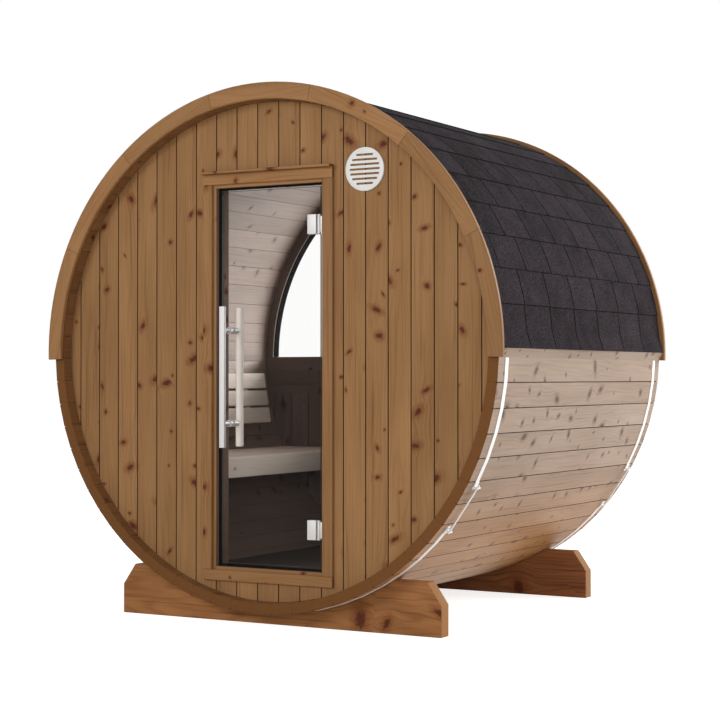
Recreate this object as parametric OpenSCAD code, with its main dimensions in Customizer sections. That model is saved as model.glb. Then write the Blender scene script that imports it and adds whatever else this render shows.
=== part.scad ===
// Barrel sauna cabin: a ring of staves on two cradles, closed by a front wall with a glass
// door and a rear wall with a half-round window. Millimetres, +Z up, front facing -Y.
// The origin is on the ground, under the middle of the barrel.

/* [Barrel] */
// Distance from the barrel's axis to the flat outer face of a stave
barrel_r = 1006; // [960:1:1400]
// Length of the staves
barrel_len = 1613; // [1300:1:4000]
// Thickness of a stave
stave_t = 42; // [28:1:60]
// Number of staves in the section over the cradles
bottom_staves = 7; // [5:1:9]
// Number of staves in each of the six other sections
section_staves = 10; // [8:1:12]

/* [Cradles] */
// Wood left under the barrel in the middle of a cradle
cradle_under = 51; // [30:1:90]
// Length of a cradle across the barrel
cradle_len = 1456; // [1400:1:1800]
// Thickness of a cradle along the barrel
cradle_t = 61; // [40:1:80]
// Height of a cradle at its shoulders
cradle_h = 201; // [150:1:240]
// Height of a cradle's square end, under the sloped cut
cradle_end_h = 118; // [80:1:140]
// Length of the sloped cut at a cradle's end
cradle_slope = 58; // [30:1:80]
// Distance from the end of the staves to a cradle
cradle_inset = 94; // [70:1:200]

/* [End trims] */
// Thickness of the trim boards on the ends of the staves
trim_t = 20; // [12:1:30]
// How far the trim stands out past the staves
trim_proud = 24; // [20:1:40]
// Width of stave end left bare inside the trim
trim_lip = 2; // [1:1:10]
// How far the ends of the trim reach below the barrel's axis
trim_drop = 27; // [0:1:80]

/* [Walls] */
// Thickness of the front and rear walls
wall_t = 42; // [28:1:60]
// Distance from the end of the staves to the outer face of a wall
wall_inset = 50; // [40:1:90]

/* [Doorway] */
// Clear width of the doorway
doorway_w = 484; // [400:1:590]
// Clear height of the doorway
doorway_h = 1481; // [1230:1:1500]
// Height of the doorway's sill above the floor
sill_rise = 20; // [10:1:60]
// Thickness of the boards that line the doorway
jamb_t = 40; // [25:1:45]
// Depth of the boards that line the doorway
jamb_depth = 88; // [70:1:110]
// Width of the casing boards round the doorway
casing_w = 41; // [30:1:60]
// Thickness of the casing boards
casing_t = 14; // [10:1:20]
// How far the casing sits back from the edge of the doorway
casing_reveal = 13; // [5:1:20]
// Thickness of the drip cap over the doorway
cap_t = 10; // [6:1:16]
// How far the drip cap stands out from the wall
cap_proud = 38; // [20:1:45]
// Thickness of the rubber seal round the doorway
seal_t = 8; // [4:1:8]
// Depth of the rubber seal
seal_depth = 10; // [6:1:14]

/* [Door] */
// Thickness of the door's glass
glass_t = 8; // [6:1:10]
// Distance from the wall's outer face to the middle of the glass
glass_inset = 24; // [20:1:30]
// Gap beside the glass at the handle's side
glass_gap_latch = 14; // [14:1:20]
// Gap beside the glass at the hinges' side
glass_gap_hinge = 17; // [16:1:20]
// Gap over and under the glass
glass_gap_end = 13; // [13:1:20]

/* [Hinges] */
// Height of a hinge
hinge_h = 75; // [50:1:100]
// Distance from the doorway's end to a hinge
hinge_end = 120; // [80:1:250]
// Distance from the jamb to the hinge's axis
hinge_axis_gap = 26; // [25:1:32]
// Radius of a hinge's knuckle
knuckle_r = 7.7; // [7:0.1:8]
// Radius of a hinge's pin
pin_r = 4; // [3:0.5:5]
// Width of the plates that clamp the glass
clamp_w = 38; // [30:1:60]
// Thickness of the plates that clamp the glass
clamp_t = 8; // [5:1:9]
// Height of the ears that hold the pin
ear_h = 6; // [4:1:10]

/* [Handle] */
// Length of the handle's bars
handle_len = 549; // [300:1:900]
// Distance between the handle's two posts
post_spacing = 363; // [200:1:450]
// Distance from the jamb to the handle's middle
handle_inset = 57; // [45:1:120]
// Width of the outer steel bar
bar_w = 22; // [15:1:30]
// Thickness of the outer steel bar
bar_t = 13; // [8:1:20]
// Space between the glass and the outer bar
bar_gap = 53; // [35:1:60]
// Radius of the inner wooden grip
grip_r = 15.5; // [12:0.5:20]
// Space between the glass and the inner grip
grip_gap = 36.5; // [30:0.5:50]
// Radius of the posts
post_r = 10; // [7:0.5:12]

/* [Vent] */
// Distance from the barrel's middle to the vent's middle, sideways
vent_x = 433; // [400:1:480]
// Height of the vent's middle above the barrel's axis
vent_rise = 679; // [600:1:690]
// Radius of the vent's grille
vent_r = 82; // [60:1:90]
// Thickness of the vent's grille
vent_t = 8; // [4:1:12]
// Number of slots in the grille
vent_slots = 7; // [3:2:9]
// Height of a slot
slot_h = 8; // [5:1:10]
// Distance from one slot to the next
slot_pitch = 18; // [14:1:18]
// Radius of the circle that the slots' ends keep to
slot_field_r = 65; // [64:1:70]

/* [Rear window] */
// Width of the arched frame round the rear window
window_frame_w = 44; // [39:1:160]
// How far the window's sill lies below the barrel's axis
window_drop = 3; // [0:1:200]
// Height of the rail under the window
rail_h = 68; // [40:1:120]
// Thickness of the window's glass
pane_t = 8; // [6:1:12]
// Distance from the wall's inner face to the window's glass
pane_inset = 20; // [5:1:25]

/* [Floor and bench] */
// Height of the floor above the ground
floor_z = 198; // [150:1:260]
// Thickness of the floor
floor_t = 28; // [20:1:40]
// Height of the bench's seat above the floor
seat_rise = 429; // [350:1:480]
// Thickness of the bench's seat
seat_t = 28; // [20:1:40]
// Distance from the barrel's middle to the bench's front edge
bench_edge_x = 395; // [300:1:500]
// Height of the bench's front board
apron_h = 86; // [50:1:120]
// Thickness of the bench's front board
apron_t = 28; // [18:1:40]
// Number of slats in the backrest
back_slats = 3; // [1:1:3]
// Height of a backrest slat
back_slat_h = 72; // [50:1:80]
// Thickness of a backrest slat
back_slat_t = 22; // [15:1:28]
// Gap between two backrest slats
back_gap = 10; // [5:1:20]
// Height of the backrest's lower edge above the seat
back_rise = 117; // [60:1:150]
// Distance from the staves to the backrest's front face at its foot
back_depth = 52; // [45:1:70]
// Lean of the backrest, in degrees
back_lean = 9.6; // [5:0.1:10]
// Length of the backrest
back_len = 1207; // [800:1:1250]
// Width of the two uprights behind the backrest
back_post_w = 45; // [30:1:70]
// Distance from the end of the backrest to an upright
back_post_inset = 150; // [50:1:250]

/* [Roof] */
// Thickness of the shingles
shingle_t = 4; // [3:0.5:5]
// Distance that the eave batten's edge stands out past the staves
eave_proud = 19; // [10:1:19]
// Height of the eave batten's edge above the barrel's axis
eave_rise = 6; // [0:1:20]
// Height of the eave batten's outer slope under its edge
eave_h = 34; // [20:1:50]

/* [Straps] */
// Width of a steel strap
strap_w = 25; // [15:1:40]
// Thickness of a steel strap
strap_t = 2; // [1.5:0.5:3]
// Distance from the end of the staves to the middle of a strap
strap_inset = 67; // [50:1:75]
// Angle below the axis at which a tensioner starts, in degrees
tensioner_from = 29.2; // [15:0.1:35]
// Angle below the axis at which a tensioner ends, in degrees
tensioner_to = 40.4; // [38:0.1:50]
// Length of strap left past a tensioner's bracket
strap_tail = 14; // [8:1:30]
// How far a tensioner's brackets stand out from the strap
bracket_proud = 18; // [12:1:20]
// Thickness of a tensioner's brackets
bracket_t = 5; // [3:0.5:8]
// Radius of a tensioner's rod
rod_r = 4; // [3:0.5:4]

/* [Hidden] */

$fn = 180;
// Fine cylinders: pins, posts and slots
small_fn = 48;
// Room left where one piece is seated on another
seat_gap = 0.3;
// Running clearance between a hinge's pin and its knuckle
pin_gap = 0.05;
// Clearance kept between the glass and a fixed knuckle
knuckle_clear = 5;
// Gap left in the seal above and below a hinge
seal_cut = 2;
// Length that a cut runs past what it cuts
over = 1;

stave_count = bottom_staves + 6 * section_staves;
pitch = 360 / stave_count;
inner_r = barrel_r - stave_t;
axis_z = barrel_r + cradle_under;
stave_end = barrel_len / 2;
// Length that covers the whole barrel in any direction
reach = 3 * barrel_r;

wall_out_y = stave_end - wall_inset;
wall_in_y = wall_out_y - wall_t;
room_len = 2 * wall_in_y;

trim_in_r = inner_r + trim_lip;
trim_out_r = barrel_r + trim_proud;
trim_dip = asin(trim_drop / trim_out_r);

sill_z = floor_z + sill_rise;
doorway_top = sill_z + doorway_h;
doorway_mid = sill_z + doorway_h / 2;
doorway_x = doorway_w / 2;
frame_x = doorway_x + jamb_t;
frame_z = sill_z - jamb_t;
frame_top = doorway_top + jamb_t;
casing_x = doorway_x + casing_reveal;
casing_out_x = casing_x + casing_w;
casing_low_z = sill_z - casing_reveal;
casing_top_z = doorway_top + casing_reveal + casing_w;

glass_y = -wall_out_y + glass_inset;
glass_out_y = glass_y - glass_t / 2;
glass_in_y = glass_y + glass_t / 2;
glass_left = -doorway_x + glass_gap_latch;
glass_right = doorway_x - glass_gap_hinge;
glass_low = sill_z + glass_gap_end;
glass_high = doorway_top - glass_gap_end;

hinge_x = doorway_x - hinge_axis_gap;
hinge_low_z = sill_z + hinge_end;
hinge_high_z = doorway_top - hinge_end - hinge_h;
clamp_right = hinge_x - knuckle_r - seat_gap;
clamp_left = clamp_right - clamp_w;
// Thickness of the plates that carry the knuckles
leaf_t = 6;

handle_x = -doorway_x + handle_inset;
bar_front_y = glass_out_y - bar_gap - bar_t;
grip_y = glass_in_y + grip_gap + grip_r;

vent_z = axis_z + vent_rise;

window_r = inner_r - window_frame_w;
window_z = axis_z - window_drop;
rail_z = window_z - rail_h;

seat_z = floor_z + seat_rise;
back_z = seat_z + back_rise;
back_h = back_slats * back_slat_h + (back_slats - 1) * back_gap;
back_x = -(sqrt(pow(inner_r, 2) - pow(axis_z - back_z, 2)) - back_depth);

eave_corner = [barrel_r + eave_proud, axis_z + eave_rise];
// Joint between staves where the flared eave meets the round roof
eave_joint = bottom_staves / 2 + ceil((90 + pitch / 2) / pitch - bottom_staves / 2);
roof_joint = stave_count / 2;

strap_out_r = barrel_r + strap_t;
strap_tail_angle = atan(strap_tail / barrel_r);
// A bracket's foot clears the bend that the strap makes at a joint between staves
bracket_foot_r = strap_out_r / cos(pitch / 2);
strap_top_z = eave_corner[1] - eave_h - seat_gap;

wood = "#8b6a48";
end_wood = "#94744e";
side_wood = "#a38d72";
dark_wood = "#7d5836";
pale_wood = "#cdb79a";
steel = "#c9c9c9";

// Direction of a joint between staves, counted in staves from the bottom
function joint_angle(s) = -90 + pitch * s;
// Corner at a joint, for a ring whose flat faces lie r from the axis
function corner(r, s) =
    [0, axis_z] + r / cos(pitch / 2) * [cos(joint_angle(s)), sin(joint_angle(s))];
function arc(r, from, to) =
    [for (i = [0 : round(abs(to - from))]) corner(r, from + sign(to - from) * i)];

// Stands a flat shape upright and gives it a length along the barrel
module along_y(from, len) {
    translate([0, from + len, 0]) rotate([90, 0, 0]) linear_extrude(len) children();
}

// Upright box between two x values, with its depth and height
module board(x0, x1, y0, y1, z0, z1) {
    translate([x0, y0, z0]) cube([x1 - x0, y1 - y0, z1 - z0]);
}

// Many-sided disc whose sides are the flat faces of the staves
module stave_disc(r) {
    polygon(arc(r, bottom_staves / 2, bottom_staves / 2 + stave_count - 1));
}

module box_2d(x0, x1, z0, z1) {
    translate([x0, z0]) square([x1 - x0, z1 - z0]);
}

module staves(from, to) {
    color(side_wood) along_y(-stave_end, barrel_len)
        polygon(concat(arc(barrel_r, from, to), arc(inner_r, to, from)));
}

module right_section(n) {
    from = bottom_staves / 2 + n * section_staves;
    staves(from, from + section_staves);
}

module left_section(n) {
    from = bottom_staves / 2 + n * section_staves;
    staves(-from - section_staves, -from);
}

module staves_bottom() staves(-bottom_staves / 2, bottom_staves / 2);
module staves_right_low() right_section(0);
module staves_right_mid() right_section(1);
module staves_right_top() right_section(2);
module staves_left_low() left_section(0);
module staves_left_mid() left_section(1);
module staves_left_top() left_section(2);

module cradle(y0) {
    half = cradle_len / 2;
    color(dark_wood) along_y(y0, cradle_t) difference() {
        polygon([
            [-half, 0], [half, 0], [half, cradle_end_h], [half - cradle_slope, cradle_h],
            [cradle_slope - half, cradle_h], [-half, cradle_end_h]
        ]);
        stave_disc(barrel_r);
    }
}

module front_cradle() cradle(-stave_end + cradle_inset);
module rear_cradle() cradle(stave_end - cradle_inset - cradle_t);

// Quarter of an end trim, from the top of the barrel down one side
module trim(y0, side) {
    color(end_wood) translate([0, y0 + trim_t, axis_z]) rotate([90, 0, 0])
        mirror([side < 0 ? 1 : 0, 0, 0]) rotate([0, 0, -trim_dip])
        rotate_extrude(angle = 90 + trim_dip)
        translate([trim_in_r, 0]) square([trim_out_r - trim_in_r, trim_t]);
}

module front_trim_left() trim(-stave_end - trim_t, -1);
module front_trim_right() trim(-stave_end - trim_t, 1);
module rear_trim_left() trim(stave_end, -1);
module rear_trim_right() trim(stave_end, 1);

// Half of the roof: flared over the eave batten, then flat from stave to stave
module shingles() {
    along_y(-stave_end, barrel_len) polygon(concat(
        [eave_corner], [eave_corner + [shingle_t, 0]],
        arc(barrel_r + shingle_t, eave_joint, roof_joint),
        arc(barrel_r, roof_joint, eave_joint)
    ));
}

module roof_shingles_right() color("#37343a") shingles();
module roof_shingles_left() color("#37343a") mirror([1, 0, 0]) shingles();

module eave_battens() {
    color(side_wood) for (side = [0, 1]) mirror([side, 0, 0])
        along_y(-stave_end, barrel_len) difference() {
            polygon([
                [barrel_r, eave_corner[1] - eave_h], eave_corner, corner(barrel_r, eave_joint),
                [inner_r, axis_z]
            ]);
            stave_disc(barrel_r);
        }
}

// Bracket on the strap, at an angle below the barrel's axis
module bracket(angle, y) {
    translate([0, y, axis_z]) rotate([0, angle, 0])
        translate([bracket_foot_r, -strap_w / 2, -bracket_t / 2])
        cube([bracket_proud, strap_w, bracket_t]);
}

module tensioner(y) {
    span = tensioner_to - tensioner_from;
    rod_at = bracket_foot_r + bracket_proud - 2 * rod_r;
    union() {
        bracket(tensioner_from, y);
        bracket(tensioner_to, y);
        translate([0, y, axis_z]) rotate([0, (tensioner_from + tensioner_to) / 2, 0])
            translate([rod_at * cos(span / 2), 0, -rod_at * sin(span / 2)])
            cylinder(h = 2 * rod_at * sin(span / 2), r = rod_r, $fn = small_fn);
    }
}

// Wedge between a tensioner's brackets, where the rod takes the strap's place
module tensioner_gap() {
    from = -tensioner_from - strap_tail_angle;
    to = -tensioner_to + strap_tail_angle;
    translate([0, axis_z]) polygon([
        [0, 0], reach * [cos(to), sin(to)], reach * [cos(from), sin(from)]
    ]);
}

// Steel band that lies on the staves from eave to eave, under the barrel
module strap(y) {
    color(steel) along_y(y - strap_w / 2, strap_w) difference() {
        intersection() {
            stave_disc(strap_out_r);
            box_2d(-reach, reach, 0, strap_top_z);
        }
        stave_disc(barrel_r);
        tensioner_gap();
        mirror([1, 0]) tensioner_gap();
    }
}

module front_strap() strap(-stave_end + strap_inset);
module rear_strap() strap(stave_end - strap_inset);

module strap_tensioners() {
    color(steel) for (side = [0, 1], end = [-1, 1])
        mirror([side, 0, 0]) tensioner(end * (stave_end - strap_inset));
}

module front_wall_part(x0, x1, z0, z1) {
    along_y(-wall_out_y, wall_t) intersection() {
        stave_disc(inner_r);
        box_2d(x0, x1, z0, z1);
    }
}

module front_wall_left() color(wood) front_wall_part(-reach, -frame_x, 0, reach);
module front_wall_right() color(wood) front_wall_part(frame_x, reach, 0, reach);
module front_wall_over_door() color(wood) front_wall_part(-frame_x, frame_x, frame_top, reach);
module front_wall_under_door() color(wood) front_wall_part(-frame_x, frame_x, 0, frame_z);

module jamb(x0, x1, z0, z1) {
    color(end_wood) board(x0, x1, -wall_out_y, -wall_out_y + jamb_depth, z0, z1);
}

module door_jamb_left() jamb(-frame_x, -doorway_x, frame_z, frame_top);
module door_jamb_right() jamb(doorway_x, frame_x, frame_z, frame_top);
module door_jamb_head() jamb(-doorway_x, doorway_x, doorway_top, frame_top);
module door_sill() jamb(-doorway_x, doorway_x, frame_z, sill_z);

module casing(x0, x1, z0, z1) {
    color(end_wood) board(x0, x1, -wall_out_y - casing_t, -wall_out_y, z0, z1);
}

module casing_sides() {
    for (side = [0, 1]) mirror([side, 0, 0])
        casing(casing_x, casing_out_x, casing_low_z, casing_top_z - casing_w);
}

module casing_head() casing(-casing_out_x, casing_out_x, casing_top_z - casing_w, casing_top_z);
module casing_bottom() casing(-casing_out_x, casing_out_x, casing_low_z - casing_w, casing_low_z);

module drip_cap() {
    color(end_wood) board(
        -casing_out_x, casing_out_x, -wall_out_y - cap_proud, -wall_out_y,
        casing_top_z, casing_top_z + cap_t
    );
}

// Rubber strip round the inside of the doorway, level with the glass
module door_seal() {
    color("#151515") difference() {
        board(
            -doorway_x, doorway_x, glass_y - seal_depth / 2, glass_y + seal_depth / 2,
            sill_z, doorway_top
        );
        board(
            -doorway_x + seal_t, doorway_x - seal_t,
            glass_y - seal_depth, glass_y + seal_depth,
            sill_z + seal_t, doorway_top - seal_t
        );
        for (z = [hinge_low_z, hinge_high_z]) board(
            0, reach, glass_y - seal_depth, glass_y + seal_depth,
            z - seal_cut, z + hinge_h + seal_cut
        );
    }
}
// Sheet of glass, notched round the fixed knuckles
module door_glass() {
    color("#5b5a58", 0.35) difference() {
        board(glass_left, glass_right, glass_out_y, glass_in_y, glass_low, glass_high);
        for (z = [hinge_low_z, hinge_high_z]) board(
            clamp_right - knuckle_clear, reach, glass_out_y - over, glass_in_y + over,
            z - seat_gap, z + hinge_h + seat_gap
        );
    }
}

module clamp(z) {
    for (y = [glass_out_y - clamp_t, glass_in_y])
        board(clamp_left, clamp_right, y, y + clamp_t, z, z + hinge_h);
    board(
        clamp_right - knuckle_clear + seat_gap, clamp_right,
        glass_out_y, glass_in_y, z, z + hinge_h
    );
    translate([hinge_x, glass_y, z]) {
        cylinder(h = hinge_h, r = pin_r, $fn = small_fn);
        for (ear = [0, hinge_h - ear_h]) translate([0, 0, ear]) {
            cylinder(h = ear_h, r = knuckle_r, $fn = small_fn);
            translate([-knuckle_r - knuckle_clear, -knuckle_r / 2, 0])
                cube([knuckle_r + knuckle_clear, knuckle_r, ear_h]);
        }
    }
}

module door_hinge_clamps() {
    color(steel) for (z = [hinge_low_z, hinge_high_z]) clamp(z);
}

// Fixed knuckle, carried by a plate on the jamb
module jamb_hinge(z) {
    knuckle_h = hinge_h - 2 * (ear_h + seat_gap);
    translate([hinge_x, glass_y, z + ear_h + seat_gap]) difference() {
        union() {
            cylinder(h = knuckle_h, r = knuckle_r, $fn = small_fn);
            translate([0, -leaf_t / 2, 0]) cube([hinge_axis_gap, leaf_t, knuckle_h]);
        }
        translate([0, 0, -over])
            cylinder(h = knuckle_h + 2 * over, r = pin_r + pin_gap, $fn = small_fn);
    }
}

module jamb_hinges() {
    color(steel) for (z = [hinge_low_z, hinge_high_z]) jamb_hinge(z);
}

// Two round posts on the glass, reaching from one y to another
module posts(y0, y1) {
    for (side = [-1, 1])
        translate([handle_x, y0, doorway_mid + side * post_spacing / 2]) rotate([-90, 0, 0])
            cylinder(h = y1 - y0, r = post_r, $fn = small_fn);
}

module door_handle_bar() {
    color(steel) union() {
        board(
            handle_x - bar_w / 2, handle_x + bar_w / 2, bar_front_y, bar_front_y + bar_t,
            doorway_mid - handle_len / 2, doorway_mid + handle_len / 2
        );
        posts(bar_front_y + bar_t, glass_out_y);
    }
}

module door_handle_grip() {
    color(pale_wood) translate([handle_x, grip_y, doorway_mid - handle_len / 2])
        cylinder(h = handle_len, r = grip_r, $fn = small_fn);
}

module door_handle_posts() color(steel) posts(glass_in_y, grip_y - grip_r - seat_gap);

// Floor across the room, cut out round the lining of the doorway
module floor_boards() {
    color(wood) difference() {
        along_y(-wall_in_y, room_len) intersection() {
            stave_disc(inner_r);
            box_2d(-reach, reach, floor_z - floor_t, floor_z);
        }
        board(
            -frame_x, frame_x, -wall_in_y - over, -wall_out_y + jamb_depth,
            floor_z - floor_t - over, floor_z + over
        );
    }
}

module bench_seat() {
    color(pale_wood) along_y(-wall_in_y, room_len) intersection() {
        stave_disc(inner_r);
        box_2d(-reach, -bench_edge_x - apron_t, seat_z - seat_t, seat_z);
    }
}

module bench_front_board() {
    color(pale_wood) board(
        -bench_edge_x - apron_t, -bench_edge_x, -wall_in_y, wall_in_y, seat_z - apron_h, seat_z
    );
}

// Puts a flat shape at the foot of the backrest and leans it back
module leaning() translate([back_x, back_z]) rotate(back_lean) children();

module bench_backrest() {
    color(pale_wood) union() {
        along_y(-back_len / 2, back_len) leaning() for (i = [0 : back_slats - 1])
            box_2d(
                -back_slat_t, 0,
                i * (back_slat_h + back_gap), i * (back_slat_h + back_gap) + back_slat_h
            );
        for (side = [-1, 1]) along_y(
            side * (back_len / 2 - back_post_inset) - back_post_w / 2, back_post_w
        ) intersection() {
            stave_disc(inner_r);
            leaning() box_2d(-reach, -back_slat_t, 0, back_h);
        }
    }
}

module rear_wall_part() {
    along_y(wall_in_y, wall_t) intersection() {
        stave_disc(inner_r);
        children();
    }
}

module rear_wall_lower() color(wood) rear_wall_part() box_2d(-reach, reach, 0, rail_z);
module rear_window_rail() color(end_wood) rear_wall_part() box_2d(-reach, reach, rail_z, window_z);

module rear_window_frame() {
    color(end_wood) rear_wall_part() difference() {
        box_2d(-reach, reach, window_z, reach);
        translate([0, axis_z]) circle(window_r);
    }
}

module rear_window_glass() {
    color("#7d8a8c", 0.35) along_y(wall_in_y + pane_inset, pane_t) intersection() {
        translate([0, axis_z]) circle(window_r - seat_gap);
        box_2d(-reach, reach, window_z + seat_gap, reach);
    }
}

module slot(z) {
    half = sqrt(pow(slot_field_r, 2) - pow(z, 2)) - slot_h / 2;
    for (x = [-half, half]) translate([x, z]) circle(slot_h / 2, $fn = small_fn);
    translate([-half, z - slot_h / 2]) square([2 * half, slot_h]);
}

module vent_grille() {
    middle = (vent_slots - 1) / 2;
    color("#cdcdcd") translate([vent_x, 0, vent_z]) along_y(-wall_out_y - vent_t, vent_t)
        difference() {
            circle(vent_r);
            for (i = [-middle : middle]) slot(i * slot_pitch);
        }
}

front_cradle();
rear_cradle();
staves_bottom();
staves_right_low();
staves_right_mid();
staves_right_top();
staves_left_low();
staves_left_mid();
staves_left_top();
front_trim_left();
front_trim_right();
rear_trim_left();
rear_trim_right();
roof_shingles_left();
roof_shingles_right();
eave_battens();
front_strap();
rear_strap();
strap_tensioners();
front_wall_left();
front_wall_right();
front_wall_over_door();
front_wall_under_door();
door_jamb_left();
door_jamb_right();
door_jamb_head();
door_sill();
casing_sides();
casing_head();
casing_bottom();
drip_cap();
door_seal();
door_glass();
door_hinge_clamps();
door_handle_bar();
door_handle_grip();
door_handle_posts();
jamb_hinges();
floor_boards();
bench_seat();
bench_front_board();
bench_backrest();
rear_wall_lower();
rear_window_rail();
rear_window_frame();
rear_window_glass();
vent_grille();
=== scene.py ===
import math

import bmesh
import bpy
import numpy as np
from mathutils import Matrix, Vector


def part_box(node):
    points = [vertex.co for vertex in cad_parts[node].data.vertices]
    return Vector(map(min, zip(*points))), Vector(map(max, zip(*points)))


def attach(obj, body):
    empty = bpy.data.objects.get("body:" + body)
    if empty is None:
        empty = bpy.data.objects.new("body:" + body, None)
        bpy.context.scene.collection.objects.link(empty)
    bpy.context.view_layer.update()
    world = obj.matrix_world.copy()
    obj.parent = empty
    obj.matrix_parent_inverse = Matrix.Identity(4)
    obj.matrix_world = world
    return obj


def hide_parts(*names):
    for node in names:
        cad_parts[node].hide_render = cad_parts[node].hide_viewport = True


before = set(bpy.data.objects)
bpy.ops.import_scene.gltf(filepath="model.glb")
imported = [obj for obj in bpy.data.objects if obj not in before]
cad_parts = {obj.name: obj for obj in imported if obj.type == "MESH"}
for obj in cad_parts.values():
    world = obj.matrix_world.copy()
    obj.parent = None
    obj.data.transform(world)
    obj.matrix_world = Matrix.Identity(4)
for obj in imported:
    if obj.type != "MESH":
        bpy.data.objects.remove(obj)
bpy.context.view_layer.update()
print("frame loaded")


def lowHigh(*nodes):
    corners = [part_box(node) for node in nodes]
    return (Vector([min(c[0][i] for c in corners) for i in range(3)]),
            Vector([max(c[1][i] for c in corners) for i in range(3)]))


# Places read from the frame, in metres
barrelLow, barrelHigh = lowHigh("staves_bottom", "staves_left_top", "staves_right_top")
barrelEnd = barrelHigh.y                        # the staves run from -barrelEnd to barrelEnd
trimLow, trimHigh = lowHigh("front_trim_left", "front_trim_right")
trimRadius = trimHigh.x
axisZ = trimHigh.z - trimRadius
barrelRadius = axisZ - barrelLow.z              # to the flat outer face of a stave
wallLow, wallHigh = lowHigh("front_wall_left", "front_wall_right")
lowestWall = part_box("front_wall_under_door")[0].z
roomRadius = axisZ - lowestWall
staveThick = barrelRadius - roomRadius
liningLow, liningHigh = lowHigh("door_jamb_left", "door_jamb_right", "door_jamb_head", "door_sill")


# Meshes: u runs across a board, v along it and w into it from its face
def newPiece():
    return {"points": [], "faces": [], "grain": [], "seed": [], "cutEnd": []}


def grainAcross(point, u, v, w):
    return (u + 0.9 * w, v, w)


# The first and last bands of faces are part of the sawn ends where endBand is set
def addRings(piece, rings, place, seed=0.0, grainOf=grainAcross, endBand=False):
    start, count = len(piece["points"]), len(rings[0])
    for ring in rings:
        for u, v, w in ring:
            point = place(u, v, w)
            piece["points"].append(point)
            piece["grain"].append(grainOf(point, u, v, w))
            piece["seed"].append(seed)
    for r in range(len(rings) - 1):
        a, b = start + r * count, start + (r + 1) * count
        for i in range(count):
            j = (i + 1) % count
            piece["faces"].append((a + i, a + j, b + j, b + i))
            piece["cutEnd"].append(1.0 if endBand and r in (0, len(rings) - 2) else 0.0)
    last = start + (len(rings) - 1) * count
    piece["faces"].append(tuple(range(start + count - 1, start - 1, -1)))
    piece["faces"].append(tuple(range(last, last + count)))
    piece["cutEnd"] += [1.0, 1.0]


# What a material reads: a grain place and a seed at each point, and which faces are sawn ends
def addGrain(mesh, grain, seeds, cutEnds):
    for name, kind, domain, field, values in (
            ("grain", "FLOAT_VECTOR", "POINT", "vector", grain),
            ("seed", "FLOAT", "POINT", "value", seeds),
            ("cutEnd", "FLOAT", "FACE", "value", cutEnds)):
        if values is not None:
            layer = mesh.attributes.new(name, kind, domain)
            layer.data.foreach_set(field, np.array(values, np.float32).ravel())


# smooth is the angle in degrees past which an edge stays sharp
def objectFrom(name, mesh, smooth=None):
    if smooth:
        mesh.shade_smooth()
        mesh.set_sharp_from_angle(angle=math.radians(smooth))
    thing = bpy.data.objects.new(name, mesh)
    bpy.context.scene.collection.objects.link(thing)
    return thing


def meshObject(name, piece, withSeed=True, smooth=None):
    mesh = bpy.data.meshes.new(name)
    mesh.from_pydata(piece["points"], [], piece["faces"])
    bm = bmesh.new()
    bm.from_mesh(mesh)
    bmesh.ops.recalc_face_normals(bm, faces=bm.faces)
    bm.to_mesh(mesh)
    bm.free()
    addGrain(mesh, piece["grain"], piece["seed"] if withSeed else None, piece["cutEnd"])
    return objectFrom(name, mesh, smooth)


def settle(thing, body, slot, material, *nodes):
    if material:
        thing.data.materials.clear()
        thing.data.materials.append(material)
    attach(thing, body)
    if nodes:
        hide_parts(*nodes)
    return thing


def paint(node, material):
    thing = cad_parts[node]
    for slot in thing.material_slots:
        slot.material = material


# Gives the faces that pass a test another material
def repaint(thing, material, test):
    thing.data.materials.append(material)
    index = len(thing.data.materials) - 1
    for face in thing.data.polygons:
        if test(face):
            face.material_index = index


# Distance from the barrel's axis, times how squarely a face looks away from it
def facingOut(face):
    return face.center.x * face.normal.x + (face.center.z - axisZ) * face.normal.z


# Section of a board with tongues and grooves: joint is half the open joint and how deep it is,
# and a side that isn't open stays plain
def boardSection(left, right, thick, joint, edge, openSides=(True, True), steps=1):
    half, deep = joint
    openLeft, openRight = openSides
    a = left + (half if openLeft else 0)
    b = right - (half if openRight else 0)
    ca, cb = (edge if openLeft else 0), (edge if openRight else 0)
    front = [(a + ca + (b - cb - a - ca) * i / steps, 0) for i in range(steps + 1)]
    back = [(u, thick) for u, w in reversed(front)]
    rightSide = [(b, cb), (b, deep), (right, deep), (right, thick - deep),
                 (b, thick - deep), (b, thick - cb)] if openRight else []
    leftSide = [(a, thick - ca), (a, thick - deep), (left, thick - deep), (left, deep),
                (a, deep), (a, ca)] if openLeft else []
    return front + rightSide + back + leftSide


def plainSection(width, thick, edge):
    return [(edge, 0), (width - edge, 0), (width, edge), (width, thick - edge),
            (width - edge, thick), (edge, thick), (0, thick - edge), (0, edge)]


def shrunk(section, amount):
    us, ws = [p[0] for p in section], [p[1] for p in section]
    midU, midW = (min(us) + max(us)) / 2, (min(ws) + max(ws)) / 2
    fu = 1 - 2 * amount / (max(us) - min(us))
    fw = 1 - 2 * amount / (max(ws) - min(ws))
    return [((u - midU) * fu + midU, (w - midW) * fw + midW) for u, w in section]


# Straight board with its ends taken off as its long edges are
def addBoard(piece, section, v0, v1, edge, place, seed):
    small = shrunk(section, edge)
    rings = [[(u, v, w) for u, w in shape] for v, shape in
             ((v0, small), (v0 + edge, section), (v1 - edge, section), (v1, small))]
    addRings(piece, rings, place, seed, endBand=True)


cadRules = {
    "merge": 1e-5,                  # points closer than this are one
    "flat": math.radians(0.3),      # faces that turn less than this are one
    "sharp": math.radians(25),      # edges that turn more than this are rounded
    "profile": 0.6,
    "cutEnd": 0.8,                  # how squarely a sawn end faces along the grain
}


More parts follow.
